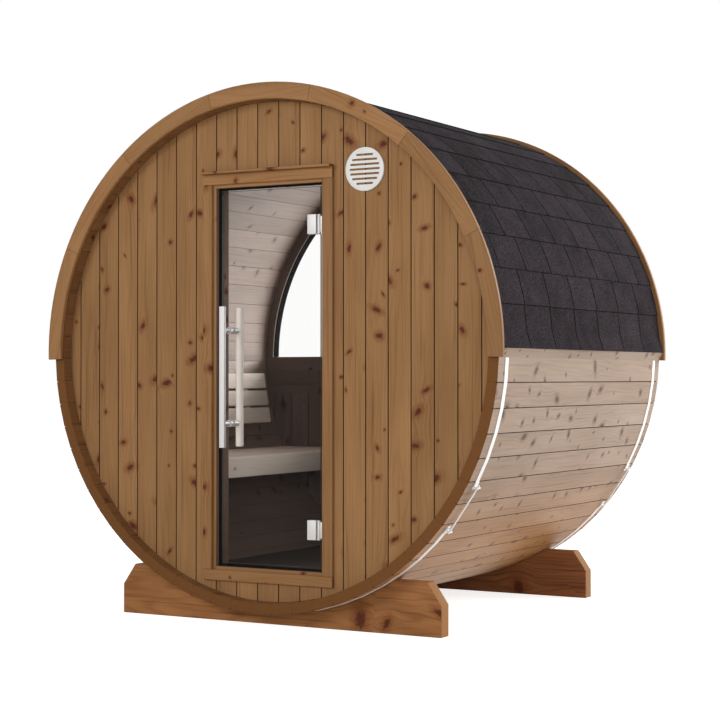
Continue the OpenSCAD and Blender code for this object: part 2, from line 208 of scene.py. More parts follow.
# Copy of CAD nodes with rounded edges and the grain along one axis
def cadPiece(name, nodes, bevel, along="z", segments=2, seed=0.0, smooth=None):
    bm = bmesh.new()
    for node in nodes:
        bm.from_mesh(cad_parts[node].data)
    bmesh.ops.remove_doubles(bm, verts=bm.verts, dist=cadRules["merge"])
    bmesh.ops.dissolve_limit(bm, angle_limit=cadRules["flat"], verts=bm.verts, edges=bm.edges)
    bmesh.ops.recalc_face_normals(bm, faces=bm.faces)
    sharp = [e for e in bm.edges if len(e.link_faces) == 2
             and e.calc_face_angle(0) > cadRules["sharp"]]
    bmesh.ops.bevel(bm, geom=sharp, offset=bevel, segments=segments,
                    profile=cadRules["profile"], affect="EDGES", clamp_overlap=True)
    bmesh.ops.recalc_face_normals(bm, faces=bm.faces)
    seeds = islandSeeds(bm, seed)
    mesh = bpy.data.meshes.new(name)
    bm.to_mesh(mesh)
    bm.free()
    co = np.zeros(len(mesh.vertices) * 3, np.float32)
    mesh.vertices.foreach_get("co", co)
    co = co.reshape(-1, 3)
    axis = "xyz".index(along)
    across, deep = [i for i in range(3) if i != axis]
    grain = np.stack([co[:, across] + 0.9 * co[:, deep], co[:, axis], co[:, deep]], axis=1)
    cutEnds = [1.0 if abs(p.normal[axis]) > cadRules["cutEnd"] else 0.0 for p in mesh.polygons]
    addGrain(mesh, grain, seeds, cutEnds)
    return objectFrom(name, mesh, smooth)


# Each loose part of a mesh gets its own seed
def islandSeeds(bm, seed):
    bm.verts.ensure_lookup_table()
    bm.verts.index_update()
    found, step = [None] * len(bm.verts), 0
    for first in bm.verts:
        if found[first.index] is not None:
            continue
        value = (seed + step * 0.377) % 1.0
        found[first.index] = value
        step += 1
        waiting = [first]
        while waiting:
            for edge in waiting.pop().link_edges:
                for vert in edge.verts:
                    if found[vert.index] is None:
                        found[vert.index] = value
                        waiting.append(vert)
    return found


def addNode(tree, kind, inputs=None, **settings):
    node = tree.nodes.new(kind)
    for key, value in settings.items():
        setattr(node, key, value)
    for key, value in (inputs or {}).items():
        socket = node.inputs[key]
        if isinstance(value, bpy.types.NodeSocket):
            tree.links.new(value, socket)
        else:
            socket.default_value = value
    return node


def maths(tree, operation, a, b=0.0, c=0.0, clamp=False):
    return addNode(tree, "ShaderNodeMath", {0: a, 1: b, 2: c}, operation=operation,
                   use_clamp=clamp).outputs[0]


def vectorMaths(tree, operation, a, b=(0, 0, 0)):
    return addNode(tree, "ShaderNodeVectorMath", {0: a, 1: b}, operation=operation).outputs[0]


def combine(tree, x=0.0, y=0.0, z=0.0):
    return addNode(tree, "ShaderNodeCombineXYZ", {0: x, 1: y, 2: z}).outputs[0]


def mapped(tree, value, fromLow, fromHigh, toLow=0.0, toHigh=1.0, smooth=False):
    return addNode(tree, "ShaderNodeMapRange",
                   {0: value, 1: fromLow, 2: fromHigh, 3: toLow, 4: toHigh},
                   interpolation_type="SMOOTHSTEP" if smooth else "LINEAR").outputs[0]


def mixColour(tree, factor, a, b, blend="MIX"):
    return addNode(tree, "ShaderNodeMix", {0: factor, 6: a, 7: b}, data_type="RGBA",
                   blend_type=blend).outputs[2]


def noise(tree, vector, scale, detail=2.0, rough=0.5, dimensions="3D"):
    return addNode(tree, "ShaderNodeTexNoise",
                   {"Vector": vector, "Scale": scale, "Detail": detail, "Roughness": rough},
                   noise_dimensions=dimensions).outputs[0]


def attribute(tree, name, output="Fac"):
    return addNode(tree, "ShaderNodeAttribute", attribute_name=name).outputs[output]


def chanceOf(tree, value):
    return addNode(tree, "ShaderNodeTexWhiteNoise", {"W": maths(tree, "MULTIPLY", value, 711.0)},
                   noise_dimensions="1D").outputs["Value"]


# From 0 to 1 and back, once for each 1 that the value grows
def wave(tree, value):
    turn = maths(tree, "MULTIPLY", value, 2 * math.pi)
    return mapped(tree, maths(tree, "SINE", turn), -1.0, 1.0)


# A colour made lighter or darker by a tone of about 1
def toned(tree, colour, tone):
    grey = addNode(tree, "ShaderNodeCombineColor", {0: tone, 1: tone, 2: tone}).outputs[0]
    return mixColour(tree, 1.0, colour, grey, "MULTIPLY")


def bumped(tree, height, strength, distance):
    return addNode(tree, "ShaderNodeBump", {
        "Height": height, "Strength": strength, "Distance": distance}).outputs[0]


def newMaterial(name):
    material = bpy.data.materials.new(name)
    material.use_nodes = True
    material.node_tree.nodes.clear()
    return material, material.node_tree


def surface(tree, shader):
    output = tree.nodes.new("ShaderNodeOutputMaterial")
    tree.links.new(shader, output.inputs["Surface"])


def srgb(red, green, blue):
    def linear(value):
        value /= 255
        return value / 12.92 if value <= 0.04045 else ((value + 0.055) / 1.055) ** 2.4
    return (linear(red), linear(green), linear(blue), 1.0)


# Knotty softwood: growth lines run along v, part round the knots and differ on each board
def woodMaterial(name, look):
    material, tree = newMaterial(name)
    grain = attribute(tree, "grain", "Vector")
    seed = attribute(tree, "seed")
    jump = combine(tree, *[maths(tree, "MULTIPLY", seed, far) for far in (57.3, 91.7, 13.1)])
    place = vectorMaths(tree, "ADD", grain, jump)

    # knots stand in the cells of a loose grid, and only some cells hold one
    cell = look["knotCell"]
    knotPlace = vectorMaths(tree, "MULTIPLY", place, (1 / cell, 1 / cell, 0.0))
    voronoi = addNode(tree, "ShaderNodeTexVoronoi", {"Vector": knotPlace, "Scale": 1.0},
                      voronoi_dimensions="2D")
    chance = addNode(tree, "ShaderNodeSeparateColor", {0: voronoi.outputs["Color"]})
    present = maths(tree, "LESS_THAN", chance.outputs[0], look["knotShare"])
    radius = mapped(tree, maths(tree, "POWER", chance.outputs[1], 1.6), 0.0, 1.0,
                    look["knotLeast"], look["knotMost"])
    apart = vectorMaths(tree, "SUBTRACT", knotPlace, voronoi.outputs["Position"])
    apart = vectorMaths(tree, "MULTIPLY", apart, (cell, cell, 0.0))
    angle = maths(tree, "MULTIPLY", chance.outputs[2], math.pi)
    leaned = addNode(tree, "ShaderNodeVectorRotate", {"Vector": apart, "Angle": angle},
                     rotation_type="Z_AXIS").outputs[0]
    leaned = vectorMaths(tree, "MULTIPLY", leaned, combine(
        tree, mapped(tree, chanceOf(tree, chance.outputs[1]), 0.0, 1.0, 0.42, 0.95), 1.0, 0.0))
    wobble = noise(tree, vectorMaths(tree, "MULTIPLY", place, (1.0, 1.0, 0.0)), 75.0, 3.0, 0.6)
    ratio = maths(tree, "DIVIDE", addNode(tree, "ShaderNodeVectorMath", {0: leaned},
                                          operation="LENGTH").outputs["Value"], radius)
    wobble = maths(tree, "MULTIPLY", maths(tree, "SUBTRACT", wobble, 0.5), 1.5)
    ratio = maths(tree, "ADD", ratio, wobble)
    core = maths(tree, "MULTIPLY", mapped(tree, ratio, 0.5, 1.15, 1.0, 0.0, True), present)
    halo = maths(tree, "MULTIPLY", mapped(tree, ratio, 0.8, 2.7, 1.0, 0.0, True), present)

    # growth lines, bent sideways round a knot
    split = addNode(tree, "ShaderNodeSeparateXYZ", {0: place})
    knotX = addNode(tree, "ShaderNodeSeparateXYZ", {0: voronoi.outputs["Position"]}).outputs[0]
    hereX = addNode(tree, "ShaderNodeSeparateXYZ", {0: knotPlace}).outputs[0]
    side = maths(tree, "SIGN", maths(tree, "SUBTRACT", hereX, knotX))
    reach = maths(tree, "MULTIPLY", mapped(tree, ratio, 0.8, 5.0, 1.0, 0.0, True), radius)
    reach = maths(tree, "MULTIPLY", reach, present)
    bent = maths(tree, "SUBTRACT", split.outputs[0], maths(tree, "MULTIPLY", side, reach))

    # noise drawn out along the grain: scale across it and along it
    def drawnOut(across, along, detail, rough):
        stretched = combine(tree, maths(tree, "MULTIPLY", bent, across),
                            maths(tree, "MULTIPLY", split.outputs[1], along))
        return noise(tree, stretched, 1.0, detail, rough, "2D")

    drift = drawnOut(9.0, 1.1, 2.0, 0.5)
    lines = maths(tree, "ADD", maths(tree, "MULTIPLY", bent, look["linesPerMetre"]),
                  maths(tree, "MULTIPLY", drift, look["lineDrift"]))
    lines = maths(tree, "POWER", wave(tree, lines), 2.2)
    fibres = drawnOut(420.0, 6.0, 3.0, 0.65)
    broad = noise(tree, vectorMaths(tree, "MULTIPLY", place, (9.0, 1.7, 1.0)), 1.0, 2.0, 0.5)

    # darker streaks of resin follow the grain here and there
    streaks = mapped(tree, drawnOut(85.0, 1.3, 2.0, 0.5), 0.57, 0.74, 0.0, 1.0, True)

    shade = maths(tree, "ADD", maths(tree, "MULTIPLY", lines, look["lineDepth"]),
                  maths(tree, "MULTIPLY", mapped(tree, fibres, 0.3, 0.7), look["fibreDepth"]))
    shade = maths(tree, "ADD", shade, maths(tree, "MULTIPLY", streaks, look["streakDepth"]))
    shade = maths(tree, "ADD", shade,
                  maths(tree, "MULTIPLY", mapped(tree, broad, 0.35, 0.65), look["broadDepth"]),
                  clamp=True)
    colour = mixColour(tree, shade, look["light"], look["dark"])
    colour = mixColour(tree, maths(tree, "MULTIPLY", halo, 0.62), colour, look["halo"])
    colour = mixColour(tree, maths(tree, "MULTIPLY", core, 0.9), colour, look["knot"])
    spread = look["toneSpread"]
    colour = toned(tree, colour, mapped(
        tree, chanceOf(tree, seed), 0.0, 1.0, 1 - spread, 1 + spread))

    # painted light and shade by height above the floor: a tint that is full below one height and
    # gone above another
    low, high, tint = look["paintedLightByHeight"]
    height = addNode(tree, "ShaderNodeSeparateXYZ", {
        0: addNode(tree, "ShaderNodeTexCoord").outputs["Object"]}).outputs[2]
    tint = mixColour(tree, mapped(tree, height, low, high, 0.0, 1.0, True), tint, (1, 1, 1, 1))
    colour = mixColour(tree, 1.0, colour, tint, "MULTIPLY")

    # painted shade: the sides of an open joint are darkened and never shine, between a board's face
    # and its back
    inBoard = addNode(tree, "ShaderNodeSeparateXYZ", {0: grain})
    depth, skin = inBoard.outputs[2], 0.0002
    inJoint = maths(tree, "MULTIPLY", mapped(tree, depth, 0.00002, skin, 0.0, 1.0, True),
                    maths(tree, "LESS_THAN", depth, staveThick - skin))
    inJoint = maths(tree, "MULTIPLY", inJoint, look["jointShade"])
    colour = mixColour(tree, inJoint, colour, look["joint"])

    # sawn ends show rings round a heart below the board
    heart = combine(tree, inBoard.outputs[0], maths(tree, "ADD", depth, 0.09))
    rings = addNode(tree, "ShaderNodeVectorMath", {0: heart}, operation="LENGTH").outputs["Value"]
    rings = maths(tree, "ADD", maths(tree, "MULTIPLY", rings, 260.0),
                  maths(tree, "MULTIPLY", noise(tree, place, 22.0), 3.0))
    colour = mixColour(tree, attribute(tree, "cutEnd"), colour,
                       mixColour(tree, wave(tree, rings), look["endLight"], look["endDark"]))

    height = maths(tree, "SUBTRACT", maths(tree, "MULTIPLY", fibres, 0.6),
                   maths(tree, "MULTIPLY", lines, 0.35))
    roughness = mapped(tree, shade, 0.0, 1.0, look["roughness"], look["roughness"] + 0.12)
    roughness = maths(tree, "MAXIMUM", roughness, maths(tree, "MULTIPLY", 0.95, maths(
        tree, "MAXIMUM", inJoint, attribute(tree, "cutEnd"))))
    shader = addNode(tree, "ShaderNodeBsdfPrincipled", {
        "Base Color": colour, "Roughness": roughness, "Specular IOR Level": look["gloss"],
        "Normal": bumped(tree, height, 0.35, 0.0008)})
    surface(tree, shader.outputs[0])
    return material


woodLook = {
    "light": srgb(152, 114, 74), "dark": srgb(116, 80, 47), "halo": srgb(114, 62, 33),
    "knot": srgb(74, 35, 22), "endLight": srgb(122, 78, 41), "endDark": srgb(88, 52, 25),
    "knotCell": 0.12, "knotShare": 0.5, "knotLeast": 0.004, "knotMost": 0.013,
    "linesPerMetre": 62.0, "lineDrift": 7.0, "lineDepth": 0.16, "fibreDepth": 0.24,
    "streakDepth": 0.4, "broadDepth": 0.36, "toneSpread": 0.07, "roughness": 0.5, "gloss": 0.1,
    "joint": srgb(52, 32, 20), "jointShade": 0.0,       # part of the joint's colour mixed in
    # painted light by height: height below which the tint is full, height above which there is
    # none, and the tint
    "paintedLightByHeight": (0.0, 1.0, (1.0, 1.0, 1.0, 1.0)),
}
frontWood = woodMaterial("frontWood", dict(
    woodLook, light=srgb(156, 117, 77), dark=srgb(119, 83, 50), jointShade=0.9))
trimWood = woodMaterial("trimWood", dict(
    woodLook, light=srgb(157, 117, 77), dark=srgb(122, 84, 51), knotCell=0.15, knotShare=0.35,
    toneSpread=0.13))
# painted sheen: the staves' pale grey colour stands in for a sheen of light, and the tint by height
# browns them towards the floor
sideLook = dict(
    woodLook, light=srgb(158, 137, 120), dark=srgb(124, 101, 83), halo=srgb(104, 78, 62),
    knot=srgb(64, 44, 36), knotCell=0.11, knotShare=0.66, roughness=0.4, gloss=0.16,
    endLight=srgb(126, 84, 46), endDark=srgb(88, 54, 28), joint=srgb(58, 38, 24),
    paintedLightByHeight=(0.16, 0.7, (1.32, 0.93, 0.48, 1.0)))
# painted shade: darker copy of the wood for the staves' inside beyond the walls, under the trims
rimShadeWood = woodMaterial("rimShadeWood", dict(woodLook, light=srgb(136, 96, 60), dark=srgb(100, 66, 40)))
staveWood = woodMaterial("staveWood", dict(sideLook, jointShade=0.9))
sideWood = woodMaterial("sideWood", sideLook)
cradleLook = dict(
    woodLook, light=srgb(164, 114, 70), dark=srgb(108, 66, 36), gloss=0.1, linesPerMetre=20.0,
    lineDepth=0.26, knotCell=0.24, knotShare=0.6, knotLeast=0.01, knotMost=0.028,
    endLight=srgb(168, 126, 86), endDark=srgb(140, 98, 62))
cradleWood = woodMaterial("cradleWood", cradleLook)
# painted shade: darker copy of the cradle's colours for the rear cradle
rearCradleShadeWood = woodMaterial("rearCradleShadeWood", dict(
    cradleLook, light=srgb(152, 98, 62), dark=srgb(98, 58, 34),
    endLight=srgb(160, 124, 92), endDark=srgb(136, 102, 74)))
# painted shade: darker copy of the wood for the room's walls and the window frame's inside
roomShadeWood = woodMaterial("roomShadeWood", dict(
    woodLook, light=srgb(110, 95, 88), dark=srgb(85, 72, 66), halo=srgb(70, 57, 51), gloss=0.04,
    knot=srgb(58, 45, 39), endLight=srgb(80, 64, 54), endDark=srgb(60, 47, 39)))
# painted shade: darker copy of the wood for the lining behind the door's glass
liningShadeWood = woodMaterial("liningShadeWood", dict(
    woodLook, light=srgb(118, 97, 84), dark=srgb(90, 72, 62), gloss=0.04))
# painted sheen and shade: the staves' inside in the room is paler and greyer above, and darker
# below the backrest
innerStaveSheenAndShade = woodMaterial("innerStaveSheenAndShade", dict(
    woodLook, light=srgb(172, 152, 140), dark=srgb(140, 121, 109), halo=srgb(116, 96, 84),
    knot=srgb(78, 60, 52), knotCell=0.13, knotShare=0.5, roughness=0.3, gloss=0.8,
    paintedLightByHeight=(0.72, 1.2, (0.6, 0.54, 0.52, 1.0))))
paleWood = woodMaterial("paleWood", dict(
    woodLook, light=srgb(240, 229, 217), dark=srgb(220, 206, 190), halo=srgb(206, 184, 160),
    knot=srgb(140, 104, 74), knotShare=0.08, knotMost=0.007, lineDepth=0.2,
    endLight=srgb(206, 184, 152), endDark=srgb(180, 152, 118), toneSpread=0.03))
gripWood = woodMaterial("gripWood", dict(
    woodLook, light=srgb(240, 233, 226), dark=srgb(226, 217, 208), halo=srgb(214, 200, 186),
    knot=srgb(190, 168, 148), knotShare=0.05, knotMost=0.005, lineDepth=0.12))
floorWood = woodMaterial("floorWood", dict(
    woodLook, light=srgb(70, 58, 50), dark=srgb(51, 42, 36), halo=srgb(46, 36, 30),
    knot=srgb(32, 23, 18), knotShare=0.35))


# Mineral grit on bitumen: two sizes of grain, soft clouds and a tone for each tab
def shingleMaterial():
    material, tree = newMaterial("shingleGrit")
    place = addNode(tree, "ShaderNodeTexCoord").outputs["Object"]
    coarse = noise(tree, place, 330.0, 2.0, 0.7)
    grit = noise(tree, place, 900.0, 2.0, 0.8)
    cloud = noise(tree, place, 9.0, 3.0, 0.6)
    mottle = noise(tree, place, 150.0, 3.0, 0.75)
    speckle = mapped(tree, maths(tree, "ADD", coarse, grit), 0.75, 1.3)
    speckle = maths(tree, "ADD", maths(tree, "MULTIPLY", speckle, 0.5),
                    mapped(tree, mottle, 0.38, 0.68, -0.15, 0.75), clamp=True)
    colour = mixColour(tree, speckle, srgb(12, 9, 11), srgb(74, 65, 71))
    ownTone = mapped(tree, chanceOf(tree, attribute(tree, "seed")), 0.0, 1.0, 0.5, 0.88)
    cloudTone = mapped(tree, cloud, 0.3, 0.7, -0.22, 0.22)
    colour = toned(tree, colour, maths(tree, "ADD", ownTone, cloudTone))
    colour = mixColour(tree, attribute(tree, "cutEnd"), colour, srgb(13, 12, 13))   # bare bitumen
    height = maths(tree, "ADD", maths(tree, "ADD", coarse, grit), mottle)
    shader = addNode(tree, "ShaderNodeBsdfPrincipled", {
        "Base Color": colour, "Roughness": 0.92, "Specular IOR Level": 0.05,
        "Normal": bumped(tree, height, 0.8, 0.002)})
    surface(tree, shader.outputs[0])
    return material


def steelMaterial(name, colour, roughness, stretch, metal=1.0):
    material, tree = newMaterial(name)
    place = addNode(tree, "ShaderNodeTexCoord").outputs["Object"]
    brushed = noise(tree, vectorMaths(tree, "MULTIPLY", place, stretch), 1.0, 3.0, 0.6)
    rough = mapped(tree, brushed, 0.3, 0.7, roughness - 0.06, roughness + 0.08)
    shader = addNode(tree, "ShaderNodeBsdfPrincipled", {
        "Base Color": colour, "Roughness": rough, "Metallic": metal,
        "Normal": bumped(tree, brushed, 0.08, 0.0004)})
    surface(tree, shader.outputs[0])
    return material


def plainMaterial(name, colour, roughness, grainSize, spread, gloss=0.5):
    material, tree = newMaterial(name)
    place = addNode(tree, "ShaderNodeTexCoord").outputs["Object"]
    texture = noise(tree, place, grainSize, 3.0, 0.6)
    deeper = tuple(channel * (1 - spread) for channel in colour[:3]) + (1.0,)
    tint = mixColour(tree, mapped(tree, texture, 0.35, 0.65), colour, deeper)
    rough = mapped(tree, texture, 0.3, 0.7, roughness - 0.05, roughness + 0.08)
    shader = addNode(tree, "ShaderNodeBsdfPrincipled", {
        "Base Color": tint, "Roughness": rough, "Specular IOR Level": gloss,
        "Normal": bumped(tree, texture, 0.12, 0.0005)})
    surface(tree, shader.outputs[0])
    return material


# A pane lets light straight through, tinted at each face, and mirrors more at a slant
def glassMaterial(name, tint, shine):
    material, tree = newMaterial(name)
    facing = addNode(tree, "ShaderNodeLayerWeight", {"Blend": 0.5}).outputs["Facing"]
    mirror = mapped(tree, maths(tree, "POWER", facing, 5.0), 0.0, 1.0, shine, 0.6)
    through = addNode(tree, "ShaderNodeBsdfTransparent", {"Color": tint})
    gloss = addNode(tree, "ShaderNodeBsdfGlossy", {"Color": (1, 1, 1, 1), "Roughness": 0.01})
    shader = addNode(tree, "ShaderNodeMixShader", {
        0: mirror, 1: through.outputs[0], 2: gloss.outputs[0]})
    surface(tree, shader.outputs[0])
    return material


shingleGrit = shingleMaterial()
satinSteel = steelMaterial("satinSteel", (0.52, 0.51, 0.505, 1), 0.52, (60.0, 60.0, 900.0), 0.6)
strapSteel = steelMaterial("strapSteel", (0.74, 0.735, 0.73, 1), 0.45, (300.0, 900.0, 300.0), 0.3)
rubber = plainMaterial("rubber", (0.013, 0.011, 0.01, 1), 0.8, 60.0, 0.3, 0.02)
grillePaint = plainMaterial("grillePaint", srgb(214, 214, 212), 0.42, 25.0, 0.04)
tintedGlass = glassMaterial("tintedGlass", (0.99, 0.987, 0.985, 1), 0.003)
clearGlass = glassMaterial("clearGlass", (0.998, 0.999, 0.998, 1), 0.003)
glassEdge = plainMaterial("glassEdge", srgb(66, 67, 66), 0.4, 40.0, 0.2, 0.25)
print("materials made")


# Lays copies in rows. Rows turn round the barrel's axis and copies stand side by side along
# it. A copy past either end is cut short, and every other row is shifted by part of a copy.
def rowsTree():
    tree = bpy.data.node_groups.new("layRows", "GeometryNodeTree")
    for name, kind, value in (
            ("Geometry", "NodeSocketGeometry", None), ("Rows", "NodeSocketInt", 1),
            ("First Turn", "NodeSocketFloat", 0.0), ("Turn", "NodeSocketFloat", 0.0),
            ("Uneven Turn", "NodeSocketFloat", 0.0), ("Columns", "NodeSocketInt", 1),
            ("Width", "NodeSocketFloat", 1.0), ("Shift", "NodeSocketFloat", 0.0),
            ("Low End", "NodeSocketFloat", -1.0), ("High End", "NodeSocketFloat", 1.0),
            ("Axis Height", "NodeSocketFloat", 0.0), ("Seed", "NodeSocketInt", 1),
            ("Material", "NodeSocketMaterial", None)):
        socket = tree.interface.new_socket(name, in_out="INPUT", socket_type=kind)
        if value is not None:
            socket.default_value = value
    tree.interface.new_socket("Geometry", in_out="OUTPUT", socket_type="NodeSocketGeometry")
    given = tree.nodes.new("NodeGroupInput").outputs
    index = tree.nodes.new("GeometryNodeInputIndex").outputs[0]
    row = maths(tree, "FLOOR", maths(tree, "DIVIDE", index, given["Columns"]))
    column = maths(tree, "MODULO", index, given["Columns"])
    shifted = maths(tree, "MULTIPLY", maths(tree, "MODULO", row, 2.0), given["Shift"])
    left = maths(tree, "ADD", given["Low End"],
                 maths(tree, "MULTIPLY", maths(tree, "SUBTRACT", column, shifted), given["Width"]))
    right = maths(tree, "ADD", left, given["Width"])
    cutLeft = maths(tree, "MAXIMUM", left, given["Low End"])
    cutRight = maths(tree, "MINIMUM", right, given["High End"])
    middle = maths(tree, "MULTIPLY", maths(tree, "ADD", cutLeft, cutRight), 0.5)
    share = maths(tree, "DIVIDE", maths(tree, "SUBTRACT", cutRight, cutLeft), given["Width"])
    points = addNode(tree, "GeometryNodePoints", {
        "Count": maths(tree, "MULTIPLY", given["Rows"], given["Columns"]),
        "Position": combine(tree, 0.0, middle, given["Axis Height"])})
    # slivers at the ends, under this share of a copy, are left out
    sliver = 0.06
    kept = addNode(tree, "GeometryNodeDeleteGeometry", {
        "Geometry": points.outputs[0],
        "Selection": addNode(tree, "FunctionNodeCompare", {0: share, 1: sliver},
                             data_type="FLOAT", operation="LESS_THAN").outputs[0]})
    kept.domain = "POINT"
    mostBack = maths(tree, "MULTIPLY", given["Uneven Turn"], -1.0)
    uneven = addNode(tree, "FunctionNodeRandomValue", {
        2: mostBack, 3: given["Uneven Turn"], "Seed": given["Seed"]}, data_type="FLOAT").outputs[1]
    turn = maths(tree, "ADD", maths(tree, "MULTIPLY", row, given["Turn"]),
                 maths(tree, "ADD", given["First Turn"], uneven))
    # both are stored before the slivers go, because the index changes there
    stored = points.outputs[0]
    for name, value in (("turnHere", turn), ("shareHere", share)):
        stored = addNode(tree, "GeometryNodeStoreNamedAttribute",
                         {"Geometry": stored, "Name": name, "Value": value},
                         data_type="FLOAT", domain="POINT").outputs[0]
    tree.links.new(stored, kept.inputs["Geometry"])
    readTurn, readShare = [
        addNode(tree, "GeometryNodeInputNamedAttribute", {"Name": name},
                data_type="FLOAT").outputs[0] for name in ("turnHere", "shareHere")]
    spin = addNode(tree, "FunctionNodeEulerToRotation", {0: combine(tree, 0.0, readTurn, 0.0)})
    copies = addNode(tree, "GeometryNodeInstanceOnPoints",
                     {"Points": kept.outputs[0], "Instance": given["Geometry"],
                      "Rotation": spin.outputs[0], "Scale": combine(tree, 1.0, readShare, 1.0)})
    ownSeed = addNode(tree, "FunctionNodeRandomValue", {2: 0.0, 3: 1.0, "Seed": given["Seed"]},
                      data_type="FLOAT").outputs[1]
    seeded = addNode(tree, "GeometryNodeStoreNamedAttribute",
                     {"Geometry": copies.outputs[0], "Name": "seed", "Value": ownSeed},
                     data_type="FLOAT", domain="INSTANCE")
    real = addNode(tree, "GeometryNodeRealizeInstances", {0: seeded.outputs[0]})
    painted = addNode(tree, "GeometryNodeSetMaterial",
                      {"Geometry": real.outputs[0], "Material": given["Material"]})
    result = tree.nodes.new("NodeGroupOutput")
    tree.links.new(painted.outputs[0], result.inputs[0])
    return tree


layRows = rowsTree()


def grown(thing, tree, values):
    modifier = thing.modifiers.new("grown", "NODES")
    modifier.node_group = tree
    for item in tree.interface.items_tree:
        if item.in_out == "INPUT" and item.name in values:
            modifier[item.identifier] = values[item.name]
    bpy.context.view_layer.update()
    evaluated = thing.evaluated_get(bpy.context.evaluated_depsgraph_get())
    mesh = bpy.data.meshes.new_from_object(evaluated)
    # the tree leaves an empty slot before the material it sets
    mesh.materials.clear()
    mesh.materials.append(values["Material"])
    mesh.polygons.foreach_set("material_index", [0] * len(mesh.polygons))
    thing.modifiers.remove(modifier)
    old = thing.data
    thing.data = mesh
    bpy.data.meshes.remove(old)
    return thing


# One object from several, which go
def joined(name, things):
    bm = bmesh.new()
    materials = list(things[0].data.materials)
    for thing in things:
        bm.from_mesh(thing.data)
    mesh = bpy.data.meshes.new(name)
    bm.to_mesh(mesh)
    bm.free()
    for material in materials:
        mesh.materials.append(material)
    for thing in things:
        bpy.data.objects.remove(thing)
    return objectFrom(name, mesh)


staveSizes = {
    "count": 67,                # all the way round, one of them at the bottom
    "openJoint": 0.0014,        # half of the open joint outside
    "roomJoint": 0.0007,        # and in the room
    "jointDepth": 0.006,
    "edge": 0.0006,
    "lap": 0.00005,             # how far a stave's side passes its neighbour's
}
facingIn = -0.9 * roomRadius    # faces past this look at the room


def makeStaves():
    size = staveSizes
    pitch = 2 * math.pi / size["count"]
    half, deep, edge, thick = size["openJoint"], size["jointDepth"], size["edge"], staveThick
    inside = size["roomJoint"]

    def widthAt(w):
        return (barrelRadius - w) * math.tan(pitch / 2) + size["lap"]

    side = [(widthAt(0) - half - edge, 0), (widthAt(edge) - half, edge),
            (widthAt(deep) - half, deep), (widthAt(deep), deep),
            (widthAt(thick - deep), thick - deep), (widthAt(thick - deep) - inside, thick - deep),
            (widthAt(thick) - inside, thick - edge / 2),
            (widthAt(thick) - inside - edge / 2, thick)]
    section = side + [(-u, w) for u, w in reversed(side)]
    # cut at the walls, where the room's painted sheen and shade start and end
    roomFront, roomRear = wallLow.y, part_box("rear_wall_lower")[1].y
    small = shrunk(section, edge)
    rings = [[(u, v, w) for u, w in shape] for v, shape in (
        (-barrelEnd, small), (-barrelEnd + edge, section), (roomFront, section),
        (roomRear, section), (barrelEnd - edge, section), (barrelEnd, small))]
    piece = newPiece()
    addRings(piece, rings, lambda u, v, w: (u, v, w - barrelRadius), 0.0, endBand=True)
    staves = meshObject("staves", piece, withSeed=False)
    grown(staves, layRows, {
        "Rows": size["count"], "Turn": pitch, "Width": 2 * barrelEnd, "Low End": -barrelEnd,
        "High End": barrelEnd, "Axis Height": axisZ, "Seed": 4, "Material": staveWood})
    sections = [f"staves_{side}_{level}" for side in ("left", "right")
                for level in ("low", "mid", "top")]
    settle(staves, "cabin", "wood_side", None, "staves_bottom", *sections)

    def betweenWalls(face):
        return roomFront < face.center.y < roomRear

    repaint(staves, innerStaveSheenAndShade, lambda f: facingOut(f) < facingIn and betweenWalls(f))
    repaint(staves, rimShadeWood, lambda f: facingOut(f) < facingIn and not betweenWalls(f))


makeStaves()
print("staves made")


# Arches: end trims and the frame of the rear window
archSizes = {
    "boards": 7,                # boards in an arch
    "edge": 0.003,              # rounding of the long edges
    "windowEdge": 0.0028,       # and of the window frame's
    "trimClear": 0.002,         # from the trim's inner edge to the room's radius
    "frameClear": 0.0005,       # from the window frame to the staves
    "joint": 0.0016,            # how far a board's end is taken off at a joint
    "steps": 12,                # facets along a board
}


def archBoard(inner, outer, y0, y1, sweep, edge):
    size = archSizes
    section = plainSection(outer - inner, y1 - y0, edge)
    piece = newPiece()
    rings = []
    for i in range(size["steps"] + 1):
        rings.append([(u, sweep * (i / size["steps"] - 0.5), w) for u, w in section])
    small = shrunk(section, size["joint"])
    gap = size["joint"] / outer
    first = [(u, -sweep / 2, w) for u, w in small]
    last = [(u, sweep / 2, w) for u, w in small]
    rings[0] = [(u, v + gap, w) for u, v, w in rings[0]]
    rings[-1] = [(u, v - gap, w) for u, v, w in rings[-1]]

    def place(u, v, w):
        radius = inner + u
        return (radius * math.sin(v), y0 + w, radius * math.cos(v))

    # a board is sawn from a straight plank, so its grain doesn't bend with it
    addRings(piece, [first] + rings + [last], place, 0.0,
             lambda point, u, v, w: (point[2] + 0.9 * point[1], point[0], point[1]))
    return piece


def makeArch(name, inner, outer, y0, y1, dip, edge, seed, slot, material, *nodes):
    count = archSizes["boards"]
    sweep = (math.pi + 2 * dip) / count
    middle = (y0 + y1) / 2
    piece = archBoard(inner, outer, y0 - middle, y1 - middle, sweep, edge)
    arch = meshObject(name, piece, withSeed=False, smooth=30)
    grown(arch, layRows, {
        "Rows": count, "First Turn": -sweep * (count - 1) / 2, "Turn": sweep,
        "Width": y1 - y0, "Low End": y0, "High End": y1, "Axis Height": axisZ,
        "Seed": seed, "Material": material})
    return settle(arch, "cabin", slot, None, *nodes)


trimInner = roomRadius + archSizes["trimClear"]
trimDip = math.asin((axisZ - trimLow.z) / trimRadius)
for end, seed in (("front", 3), ("rear", 8)):
    low, high = lowHigh(f"{end}_trim_left", f"{end}_trim_right")
    makeArch(f"{end}Trim", trimInner, trimRadius, low.y, high.y, trimDip, archSizes["edge"], seed,
             "wood_trim", trimWood, f"{end}_trim_left", f"{end}_trim_right")

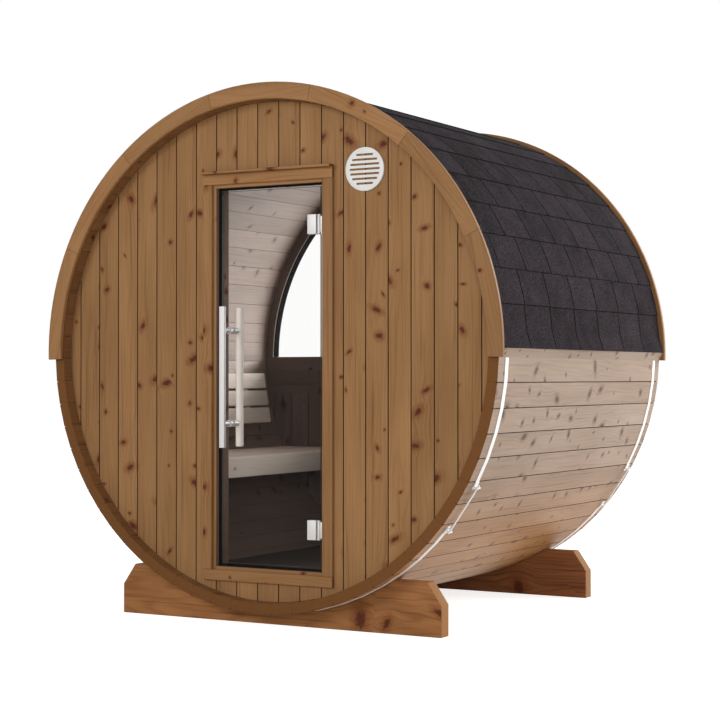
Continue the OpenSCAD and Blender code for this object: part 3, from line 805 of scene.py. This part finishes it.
frameLow, frameHigh = lowHigh("rear_window_frame")
windowRadius = lowHigh("rear_window_glass")[1].z - axisZ
windowDip = math.asin((axisZ - frameLow.z) / roomRadius)
windowFrame = makeArch(
    "rearWindowFrame", windowRadius, roomRadius - archSizes["frameClear"], frameLow.y, frameHigh.y,
    windowDip, archSizes["windowEdge"], 5, "wood_trim", trimWood, "rear_window_frame")


# The frame's side towards the room, and its reveal
def frameInside(face):
    return face.normal.y < -0.9 or -facingOut(face) / windowRadius > 0.9


def frameCorner(face):
    return face.normal.y < -0.3 and -facingOut(face) / windowRadius > 0.3


# painted shade: the inside is darkened, and the edge between its two faces gets pale wood as a
# painted highlight
repaint(windowFrame, roomShadeWood, frameInside)
repaint(windowFrame, gripWood, lambda face: frameCorner(face) and not frameInside(face))
print("arches made")


wallSizes = {
    "boardWidth": 0.0963,
    "openJoint": 0.0016,        # half of the open joint
    "jointDepth": 0.007,
    "edge": 0.0008,
    "steps": 8,                 # facets across a board's round end
    "capBoard": 0.106,          # level board under the rear window's rail
    "clear": 0.0006,            # from a wall to the staves
}
wallEdgeRadius = roomRadius - wallSizes["clear"]


def circleHalf(distance):
    return math.sqrt(max(wallEdgeRadius ** 2 - distance ** 2, 1e-8))


def wallBoard(piece, x0, x1, lowAt, highAt, y0, y1, seed, openSides=(True, True)):
    size = wallSizes
    section = boardSection(x0, x1, y1 - y0, (size["openJoint"], size["jointDepth"]),
                           size["edge"], openSides, size["steps"])
    rings = [[(u, lowAt(u), w) for u, w in section], [(u, highAt(u), w) for u, w in section]]
    addRings(piece, rings, lambda u, v, w: (u, y0 + w, v), seed)


def roundLow(x):
    return axisZ - circleHalf(x)


def roundHigh(x):
    return axisZ + circleHalf(x)


def boardEdges():
    width = wallSizes["boardWidth"]
    count = math.ceil((wallEdgeRadius - width / 2) / width)
    for k in range(-count, count + 1):
        x0, x1 = (k - 0.5) * width, (k + 0.5) * width
        yield k, max(x0, -wallEdgeRadius + 1e-4), min(x1, wallEdgeRadius - 1e-4)


def makeFrontWall():
    piece = newPiece()
    y0, y1 = wallLow.y, wallHigh.y
    opening, top, bottom = liningHigh.x, liningHigh.z, liningLow.z
    for k, x0, x1 in boardEdges():
        seed = (k * 0.618 + 0.31) % 1.0
        outside = max(abs(x0), abs(x1)) > opening
        inside = min(abs(x0), abs(x1)) < opening or x0 * x1 < 0
        if outside and not inside:
            wallBoard(piece, x0, x1, roundLow, roundHigh, y0, y1, seed)
            continue
        near, far = x0, x1
        if outside:                     # a board that passes the doorway is cut round it
            split = math.copysign(opening, x0 + x1)
            if split > 0:
                wallBoard(piece, split, x1, roundLow, roundHigh, y0, y1, seed, (False, True))
                far = split
            else:
                wallBoard(piece, x0, split, roundLow, roundHigh, y0, y1, seed, (True, False))
                near = split
        openSides = (near == x0, far == x1)
        wallBoard(piece, near, far, lambda x: top, roundHigh, y0, y1, seed, openSides)
        wallBoard(piece, near, far, roundLow, lambda x: bottom, y0, y1, seed, openSides)
    wall = meshObject("frontWall", piece)
    return settle(wall, "cabin", "wood_front", frontWood, "front_wall_left", "front_wall_right",
                  "front_wall_over_door", "front_wall_under_door")


def levelBoard(piece, z0, z1, y0, y1, seed):
    size = wallSizes
    section = boardSection(z0, z1, y1 - y0, (size["openJoint"], size["jointDepth"]), size["edge"])
    rings = [[(u, side * circleHalf(u - axisZ), w) for u, w in section] for side in (-1, 1)]
    addRings(piece, rings, lambda u, v, w: (v, y0 + w, u), seed)


# Painted shade: the room's side of the rear wall and the top under the window are darkened
def darkenInside(thing):
    repaint(thing, roomShadeWood, lambda face: face.normal.y < -0.3 or face.normal.z > 0.9)


def makeRearWall():
    low, high = lowHigh("rear_wall_lower")
    railLow, railHigh = lowHigh("rear_window_rail")
    piece = newPiece()
    joint = high.z - wallSizes["capBoard"]
    for k, x0, x1 in boardEdges():
        seed = (k * 0.618 + 0.77) % 1.0
        wallBoard(piece, x0, x1, roundLow, lambda x: max(joint, roundLow(x) + 1e-4),
                  low.y, high.y, seed)
    levelBoard(piece, joint, high.z, low.y, high.y, 0.13)
    wall = meshObject("rearWall", piece)
    settle(wall, "cabin", "wood_front", frontWood, "rear_wall_lower")
    darkenInside(wall)
    piece = newPiece()
    levelBoard(piece, railLow.z, railHigh.z, low.y, high.y, 0.53)
    rail = meshObject("rearWindowRail", piece)
    settle(rail, "cabin", "wood_trim", trimWood, "rear_window_rail")
    darkenInside(rail)


makeFrontWall()
makeRearWall()
print("walls made")


doorwaySizes = {"liningEdge": 0.002, "casingEdge": 0.0035, "sealEdge": 0.0015}


def makeDoorway():
    size = doorwaySizes
    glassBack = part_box("door_glass")[1].y
    for name, node, along, bevel, seed in (
            ("jambLeft", "door_jamb_left", "z", size["liningEdge"], 0.11),
            ("jambRight", "door_jamb_right", "z", size["liningEdge"], 0.42),
            ("jambHead", "door_jamb_head", "x", size["liningEdge"], 0.63),
            ("doorSill", "door_sill", "x", size["liningEdge"], 0.29),
            ("casingSides", "casing_sides", "z", size["casingEdge"], 0.52),
            ("casingHead", "casing_head", "x", size["casingEdge"], 0.84),
            ("casingBottom", "casing_bottom", "x", size["casingEdge"], 0.37),
            ("dripCap", "drip_cap", "x", size["casingEdge"], 0.95)):
        piece = cadPiece(name, [node], bevel, along, 3, seed, smooth=40)
        settle(piece, "cabin", "wood_trim", trimWood, node)
        # painted shade: behind the glass the wood is darkened nearly as much as the room's walls
        repaint(piece, liningShadeWood, lambda face: face.center.y > glassBack)
    seal = cadPiece("doorSeal", ["door_seal"], size["sealEdge"], segments=3, smooth=40)
    settle(seal, "cabin", "seal", rubber, "door_seal")


makeDoorway()
print("doorway made")


doorSizes = {
    "glassEdge": 0.001, "hingeEdge": 0.001, "barEdge": 0.002, "postEdge": 0.0008,
    "gripEnd": 0.006,                       # rounding of the grip's ends
    "gripSteps": 5,
    "collar": (0.0135, 0.018, 0.001),       # radius, length and rounding
}


# The edges of a pane show another glass than its two faces
def paneEdge(face):
    return abs(face.normal.y) <= 0.98


# Round bar turned from pairs of length along it and radius
def turned(piece, profile, place, sides=32):
    rings = []
    for v, radius in profile:
        rings.append([(radius * math.cos(2 * math.pi * i / sides), v,
                       radius * math.sin(2 * math.pi * i / sides)) for i in range(sides)])
    addRings(piece, rings, place, 0.3)


def makeDoor():
    size = doorSizes
    glass = cadPiece("doorGlass", ["door_glass"], size["glassEdge"], segments=2)
    settle(glass, "door", "tinted_glass", tintedGlass, "door_glass")
    repaint(glass, glassEdge, paneEdge)

    clamps = cadPiece("hingeClamps", ["door_hinge_clamps"], size["hingeEdge"], smooth=35)
    settle(clamps, "door", "steel", satinSteel, "door_hinge_clamps")
    knuckles = cadPiece("jambHinges", ["jamb_hinges"], size["hingeEdge"] / 2, smooth=35)
    settle(knuckles, "cabin", "steel", satinSteel, "jamb_hinges")
    bar = cadPiece("handleBar", ["door_handle_bar"], size["barEdge"], segments=3, smooth=35)
    settle(bar, "door", "steel", satinSteel, "door_handle_bar")

    low, high = lowHigh("door_handle_grip")
    radius, end = (high.x - low.x) / 2, size["gripEnd"]
    middle = (low + high) / 2
    profile = [(low.z, radius - end)]
    for step in range(1, size["gripSteps"] + 1):
        turn = math.pi / 2 * step / size["gripSteps"]
        profile.append((low.z + end - end * math.cos(turn), radius - end + end * math.sin(turn)))
    profile += [(low.z + high.z - v, r) for v, r in reversed(profile)]
    piece = newPiece()
    turned(piece, profile, lambda u, v, w: (middle.x + u, middle.y + w, v))
    grip = meshObject("handleGrip", piece, smooth=40)
    settle(grip, "door", "wood_pale", gripWood, "door_handle_grip")
    posts = cadPiece("handlePosts", ["door_handle_posts"], size["postEdge"], smooth=35)
    settle(posts, "door", "steel", satinSteel, "door_handle_posts")

    # collars press the posts to the glass from both sides
    glassLow, glassHigh = lowHigh("door_glass")
    postLow, postHigh = lowHigh("door_handle_posts")
    radius, tall, edge = size["collar"]
    profile = [(0.0, radius - edge), (edge, radius), (tall - edge, radius), (tall, radius - edge)]
    piece = newPiece()
    postX, postRadius = (postLow.x + postHigh.x) / 2, (postHigh.x - postLow.x) / 2
    for z in (postLow.z + postRadius, postHigh.z - postRadius):
        for face, out in ((glassHigh.y, 1), (glassLow.y, -1)):
            turned(piece, profile, lambda u, v, w: (postX + u, face + out * v, z + w))
    collars = meshObject("handleCollars", piece, smooth=40)
    settle(collars, "door", "steel", satinSteel)


makeDoor()
print("door made")


plainEdges = {"vent": 0.0018, "cradle": 0.004, "pane": 0.001, "batten": 0.0015}

vent = cadPiece("ventGrille", ["vent_grille"], plainEdges["vent"], segments=3, smooth=40)
settle(vent, "cabin", "grille", grillePaint, "vent_grille")

for name, node, seed, material in (("frontCradle", "front_cradle", 0.21, cradleWood),
                                   ("rearCradle", "rear_cradle", 0.66, rearCradleShadeWood)):
    cradle = cadPiece(name, [node], plainEdges["cradle"], "x", 3, seed, smooth=30)
    settle(cradle, "cabin", "wood_cradle", material, node)
print("vent and cradles made")


shingleSizes = {
    # angles round the barrel, up from the height of its axis
    "courseTurn": math.radians(7.6),
    "eaveTurn": math.radians(0.36),
    "firstTurn": math.radians(9.45),    # lower edge of the second course
    "battenTurn": math.radians(4.03),   # below this the roof bends out over the eave batten
    "overlap": math.radians(2.4),
    "unevenTurn": 0.0009,               # most that a tab turns from its row
    "tabs": 7,                  # whole tabs along the barrel
    "shift": 0.65,              # part of a tab that every other course is shifted by
    "thick": 0.0034,
    "lift": 0.0045,             # how far a lower edge stands off what is under it
    "gap": 0.0028,              # half of the gap between tabs
    "edge": 0.0009,
    "bed": 0.0009,              # from the roof's surface to the underside of a tab
    "clear": 0.0003,            # from the staves' corners to the roof's surface
    "bend": 1.1,                # how the bend over the batten eases in
    "endGap": 0.001,            # from the ends of the staves
    "felt": 0.0012,
    "capTurn": math.radians(6.0),       # half of the ridge cap
    "capGap": 0.0005,           # half of the gap between ridge caps
    "steps": 12,                # facets up a tab and over a cap
    "feltSteps": 60,
}


def roofRadius(angle):
    size = shingleSizes
    base = barrelRadius / math.cos(math.pi / staveSizes["count"]) + size["clear"]
    joint = size["battenTurn"]
    if angle >= joint:
        return base
    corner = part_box("eave_battens")[1].x
    share = (joint - angle) / (joint - size["eaveTurn"])
    return base + (corner - base) * share ** size["bend"]


# A tab from one angle to another: rings run up the roof, low edge first. It follows the roof's
# bend, or stays round for the rows above it
def shingleTab(from_, to, width, follow):
    size = shingleSizes
    half, edge, steps = width / 2 - size["gap"], size["edge"], size["steps"]
    rings = []
    for i in range(steps + 1):
        angle = from_ + (to - from_) * i / steps
        rise = (0 if follow else size["lift"]) * (1 - i / steps) + size["bed"]
        low = roofRadius(angle if follow else math.pi / 2) + rise
        high = low + size["thick"]
        ring = [(-half, angle, low), (-half, angle, high - edge), (-half + edge, angle, high),
                (half - edge, angle, high), (half, angle, high - edge), (half, angle, low)]
        if i == 0:
            back = edge / barrelRadius
            rings.append([(u, v, min(w, high - edge)) for u, v, w in ring])
            ring = [(u, v + back, w) for u, v, w in ring]
        rings.append(ring)
    piece = newPiece()
    addRings(piece, rings, lambda u, v, w: (w * math.cos(v), u, w * math.sin(v)), 0.0)
    # the lower edge, the sides and the underside are cut, and show bare bitumen
    around = len(rings[0])
    for i in range(len(piece["faces"]) - 2):
        if i < around or i % around in (0, around - 2, around - 1):
            piece["cutEnd"][i] = 1.0
    return piece


def makeRoof():
    size = shingleSizes
    width = 2 * barrelEnd / size["tabs"]
    lowEnd, highEnd = -barrelEnd + size["endGap"], barrelEnd - size["endGap"]
    shared = {"Columns": size["tabs"] + 1, "Width": width, "Low End": lowEnd,
              "High End": highEnd, "Axis Height": axisZ, "Material": shingleGrit,
              "Uneven Turn": size["unevenTurn"]}
    bottom = meshObject("bottomCourse", shingleTab(
        size["eaveTurn"], size["firstTurn"] + size["overlap"], width, True), withSeed=False)
    grown(bottom, layRows, dict(shared, Rows=1, Seed=11, **{"Uneven Turn": 0.0}))
    upper = meshObject("upperCourses", shingleTab(
        0.0, size["courseTurn"] + size["overlap"], width, False), withSeed=False)
    rows = math.ceil((math.pi / 2 - size["firstTurn"]) / size["courseTurn"])
    grown(upper, layRows, dict(shared, Rows=rows, Seed=12, Shift=size["shift"], **{
        "First Turn": -size["firstTurn"], "Turn": -size["courseTurn"]}))
    # caps over the ridge lap along the barrel
    half, edge, steps = width / 4 - size["capGap"], size["edge"], size["steps"]
    base = roofRadius(math.pi / 2) + 2 * size["thick"]
    under = base + size["lift"]
    over = under + size["thick"]
    rings = []
    for i in range(steps + 1):
        angle = size["capTurn"] * (2 * i / steps - 1)
        rings.append([(-half, angle, under), (-half, angle, over - edge),
                      (-half + edge, angle, over), (half, angle, base + size["thick"]),
                      (half, angle, base)])
    piece = newPiece()
    addRings(piece, rings, lambda u, v, w: (w * math.sin(v), u, w * math.cos(v)))
    caps = meshObject("ridgeCaps", piece, withSeed=False)
    grown(caps, layRows, dict(shared, Rows=1, Columns=2 * size["tabs"], Width=width / 2, Seed=13,
                              **{"Uneven Turn": 0.0}))
    # felt under the tabs, from the eave to the ridge
    steps, eave = size["feltSteps"], size["eaveTurn"]
    angles = [eave + (math.pi / 2 - eave) * i / steps for i in range(steps + 1)]
    corners = ((lowEnd, 0.0), (lowEnd, size["felt"]), (highEnd, size["felt"]), (highEnd, 0.0))
    rings = [[(v, a, roofRadius(a) + rise) for v, rise in corners] for a in angles]
    piece = newPiece()
    addRings(piece, rings, lambda u, v, w: (w * math.cos(v), u, axisZ + w * math.sin(v)), 0.5)
    piece["cutEnd"] = [1.0] * len(piece["faces"])
    felt = meshObject("roofFelt", piece)
    roof = joined("roofShingles", [bottom, upper, caps, felt])
    # the other side is the same, turned half round
    twice = bmesh.new()
    twice.from_mesh(roof.data)
    otherSide = roof.data.copy()
    otherSide.transform(Matrix.Rotation(math.pi, 4, "Z"))
    twice.from_mesh(otherSide)
    twice.to_mesh(roof.data)
    twice.free()
    bpy.data.meshes.remove(otherSide)
    return settle(roof, "cabin", "shingle", None, "roof_shingles_left", "roof_shingles_right")


makeRoof()
print("roof made")


floorSizes = {"boardWidth": 0.094, "openJoint": 0.0012, "jointDepth": 0.004, "edge": 0.001}


def makeFloor():
    size = floorSizes
    low, high = lowHigh("floor_boards")
    piece = newPiece()
    thick = high.z - low.z
    halfTop, halfLow = circleHalf(high.z - axisZ), circleHalf(low.z - axisZ)
    count = math.ceil(halfTop / size["boardWidth"])
    for k in range(-count, count):
        x0, x1 = k * size["boardWidth"], (k + 1) * size["boardWidth"]
        start = liningHigh.y if abs(x0 + x1) / 2 < liningHigh.x else low.y
        joint = (size["openJoint"], size["jointDepth"])
        section = boardSection(x0, x1, thick, joint, size["edge"])
        # the outermost boards are sawn to the slope of the staves
        section = [(math.copysign(min(abs(u), halfTop + (halfLow - halfTop) * w / thick), u), w)
                   for u, w in section]
        addBoard(piece, section, start, high.y, size["edge"],
                 lambda u, v, w: (u, v, high.z - w), (k * 0.618) % 1.0)
    floor = meshObject("floorBoards", piece)
    settle(floor, "cabin", "wood_floor", floorWood, "floor_boards")


benchSizes = {"slats": 4, "gap": 0.006, "edge": 0.004, "backEdge": 0.006, "endGap": 0.001}


def makeBench():
    size = benchSizes
    low, high = lowHigh("bench_seat")
    thick = high.z - low.z
    halfTop, halfLow = circleHalf(high.z - axisZ), circleHalf(low.z - axisZ)
    width = (high.x + halfTop - size["gap"] * (size["slats"] - 1)) / size["slats"]
    piece = newPiece()
    for k in range(size["slats"]):
        left = -halfTop + k * (width + size["gap"])
        section = [(left + u, w) for u, w in plainSection(width, thick, size["edge"])]
        section = [(max(u, -(halfTop + (halfLow - halfTop) * w / thick)), w) for u, w in section]
        addBoard(piece, section, low.y + size["endGap"], high.y - size["endGap"], size["edge"] / 2,
                 lambda u, v, w: (u, v, high.z - w), (k * 0.37 + 0.2) % 1.0)
    seat = meshObject("benchSeat", piece, smooth=30)
    settle(seat, "cabin", "wood_pale", paleWood, "bench_seat")
    front = cadPiece("benchFrontBoard", ["bench_front_board"], size["edge"], "y", 3, 0.4, smooth=40)
    settle(front, "cabin", "wood_pale", paleWood, "bench_front_board")
    back = cadPiece("benchBackrest", ["bench_backrest"], size["backEdge"], "y", 3, 0.7, smooth=40)
    settle(back, "cabin", "wood_pale", paleWood, "bench_backrest")


makeFloor()
makeBench()
print("floor and bench made")


pane = cadPiece("rearWindowPane", ["rear_window_glass"], plainEdges["pane"])
settle(pane, "cabin", "clear_glass", clearGlass, "rear_window_glass")
repaint(pane, glassEdge, paneEdge)

# Black rubber lines the window's arch and holds the pane, bare of the frame's two faces
gasketSizes = {"thick": 0.006, "bare": 0.002, "edge": 0.001, "steps": 90}


def makeGasket():
    size = gasketSizes
    inner = windowRadius - size["thick"]
    deep = frameHigh.y - frameLow.y - 2 * size["bare"]
    section = plainSection(size["thick"], deep, size["edge"])
    rings = []
    for i in range(size["steps"] + 1):
        turn = math.pi * i / size["steps"] - math.pi / 2
        rings.append([(u, turn, w) for u, w in section])
    piece = newPiece()
    addRings(piece, rings, lambda u, v, w: (
        (inner + u) * math.sin(v), frameLow.y + size["bare"] + w,
        axisZ + (inner + u) * math.cos(v)))
    gasket = meshObject("windowGasket", piece, smooth=40)
    settle(gasket, "cabin", "seal", rubber)


makeGasket()

battens = cadPiece("eaveBattens", ["eave_battens"], plainEdges["batten"], "y", 2, 0.6)
settle(battens, "cabin", "wood_side", sideWood, "eave_battens")
for node in ("front_strap", "rear_strap"):
    paint(node, strapSteel)


# Each tensioner is a threaded rod between two brackets, with a nut on both sides of each
tensionerSizes = {
    "from": math.radians(29.2), "to": math.radians(40.4),   # below the axis
    "strap": 0.002,                         # from the barrel to the strap's outer face
    "bracket": (0.004, 0.03, 0.018),        # along the strap, across it, and out from it
    "shoulder": (0.36, 0.72),               # where a bracket's corners are cut, as shares of it
    "bracketEdge": 0.0006,
    "foot": (0.016, 0.0018),                # length past the bracket, and thickness
    "footEdge": 0.0004,
    "rod": 0.003, "thread": 0.0003, "pitch": 0.0025, "rodPast": 0.01,
    "nut": (0.0052, 0.004),                 # radius and height
    "nutEdge": 0.0005,
}


def makeTensioners():
    size = tensionerSizes
    strapLow, strapHigh = lowHigh("front_strap")
    strapY = (strapLow.y + strapHigh.y) / 2
    base = (barrelRadius + size["strap"]) / math.cos(math.pi / staveSizes["count"])
    thick, wide, tall = size["bracket"]
    middle, half = (size["from"] + size["to"]) / 2, (size["to"] - size["from"]) / 2
    rodAt = base + tall - 2 * (size["rod"] + size["thread"])
    shoulderAcross, shoulderOut = wide * size["shoulder"][0], tall * size["shoulder"][1]
    edge, footEdge, nutEdge = size["bracketEdge"], size["footEdge"], size["nutEdge"]
    piece = newPiece()
    for turnOver, y in ((0, strapY), (0, -strapY), (math.pi, strapY), (math.pi, -strapY)):
        flip = Matrix.Rotation(turnOver, 3, "Z")

        def at(angle, along, across, out):      # along runs down the barrel
            point = Vector((out * math.cos(angle) - along * math.sin(angle), 0,
                            -out * math.sin(angle) - along * math.cos(angle)))
            point = flip @ point
            return (point.x, y + across, axisZ + point.z)

        for angle, side in ((size["from"], -1), (size["to"], 1)):
            plate = [(-wide / 2, 0), (wide / 2, 0), (wide / 2, shoulderOut),
                     (shoulderAcross, tall), (-shoulderAcross, tall), (-wide / 2, shoulderOut)]
            small = shrunk(plate, edge)
            rings = [[(u, v, w) for u, w in shape] for v, shape in (
                (-thick / 2, small), (-thick / 2 + edge, plate),
                (thick / 2 - edge, plate), (thick / 2, small))]
            addRings(piece, rings, lambda u, v, w: at(angle, v, u, base + w))
            length, foot = size["foot"]
            section = plainSection(wide, foot, footEdge)
            rings = [[(u - wide / 2, v, w) for u, w in section]
                     for v in (0, side * (thick / 2 + length))]
            addRings(piece, rings, lambda u, v, w: at(angle, v, u, base - footEdge + w))
        reach = rodAt * math.sin(half)
        out = rodAt * math.cos(half)
        end = reach + size["rodPast"]
        count = round(2 * end / size["pitch"])
        profile = [(-end, size["rod"] * 0.8)]
        for i in range(2 * count):
            v = -end + (i + 0.5) * size["pitch"] / 2
            profile.append((v, size["rod"] + (size["thread"] if i % 2 else 0)))
        profile.append((end, size["rod"] * 0.8))
        turned(piece, profile, lambda u, v, w: at(middle, v, u, out + w), 12)
        radius, height = size["nut"]
        for side in (-1, 1):
            for start in (thick / 2, -thick / 2 - height):
                low = side * (reach + start * side)
                nut = [(low, radius * 0.9), (low + nutEdge, radius),
                       (low + height - nutEdge, radius), (low + height, radius * 0.9)]
                turned(piece, nut, lambda u, v, w: at(middle, v, u, out + w), 6)
    tensioners = meshObject("strapTensioners", piece)
    settle(tensioners, "cabin", "steel", strapSteel, "strap_tensioners")


makeTensioners()
print("window and straps made")


stageSizes = {
    "camera": (3.72365, -6.51923, 0.96005),
    "cameraTurn": (math.radians(90.538), 0.0, math.radians(29.906)),
    "lens": 88.835,
    "skyLight": 0.4,            # on the object, where the sky that is seen has 1
    "floor": 60.0,              # from the middle to each side
    "floorDrop": 0.0005,        # below the cradles
    "floorGlow": 0.8,           # added where the floor is seen, straight, mirrored or through glass
    # lamp: place, size, power, aimed at
    "lamps": {
        "key": ((-2.8, -9.0, 3.9), 3.0, 262.0, (0.0, -0.5, 0.9)),
        "fill": ((4.3, -7.6, 1.7), 2.5, 165.0, (-0.3, 0.0, 0.7)),
        "side": ((7.5, 5.5, 3.2), 4.0, 500.0, (0.6, 0.2, 1.0)),
        "window": ((3.5, 6.5, 3.6), 2.5, 340.0, (-0.4, 0.0, 1.3)),
    },
}


# 1 for a ray that looks at a thing, straight, mirrored or through glass, and 0 for its light
def seenRays(tree):
    path = addNode(tree, "ShaderNodeLightPath")
    seen = maths(tree, "MAXIMUM", path.outputs["Is Camera Ray"], path.outputs["Is Glossy Ray"])
    return maths(tree, "MAXIMUM", seen, path.outputs["Is Transmission Ray"])


def makeStage():
    size = stageSizes
    scene = bpy.context.scene
    camera = bpy.data.cameras.new("camera")
    camera.lens = size["lens"]
    camera.sensor_width = 36.0
    view = bpy.data.objects.new("camera", camera)
    view.location, view.rotation_euler = size["camera"], size["cameraTurn"]
    scene.collection.objects.link(view)
    scene.camera = view
    for name, (place, width, power, target) in size["lamps"].items():
        light = bpy.data.lights.new(name, "AREA")
        light.shape, light.size, light.energy = "SQUARE", width, power
        lamp = bpy.data.objects.new(name, light)
        lamp.location = place
        lamp.rotation_euler = (Vector(target) - Vector(place)).to_track_quat("-Z", "Y").to_euler()
        scene.collection.objects.link(lamp)

    world = bpy.data.worlds.new("studio")
    world.use_nodes = True
    scene.world = world
    tree = world.node_tree
    tree.nodes.clear()
    seen = seenRays(tree)
    strength = mapped(tree, seen, 0.0, 1.0, size["skyLight"], 1.0)
    sky = addNode(tree, "ShaderNodeBackground", {"Color": (1, 1, 1, 1), "Strength": strength})
    output = tree.nodes.new("ShaderNodeOutputWorld")
    tree.links.new(sky.outputs[0], output.inputs["Surface"])

    mesh = bpy.data.meshes.new("studioFloor")
    reach = size["floor"]
    corners = [(-reach, -reach, 0), (reach, -reach, 0), (reach, reach, 0), (-reach, reach, 0)]
    mesh.from_pydata(corners, [], [(0, 1, 2, 3)])
    ground = bpy.data.objects.new("studioFloor", mesh)
    ground.location.z = -size["floorDrop"]
    scene.collection.objects.link(ground)
    material, tree = newMaterial("paleFloor")
    matt = addNode(tree, "ShaderNodeBsdfDiffuse", {"Color": (0.74, 0.71, 0.67, 1)})
    glow = maths(tree, "MULTIPLY", seenRays(tree), size["floorGlow"])
    bright = addNode(tree, "ShaderNodeEmission", {"Color": (1, 1, 1, 1), "Strength": glow})
    both = addNode(tree, "ShaderNodeAddShader", {0: matt.outputs[0], 1: bright.outputs[0]})
    surface(tree, both.outputs[0])
    mesh.materials.append(material)
    scene.view_settings.view_transform = "Standard"


makeStage()
print("stage made")
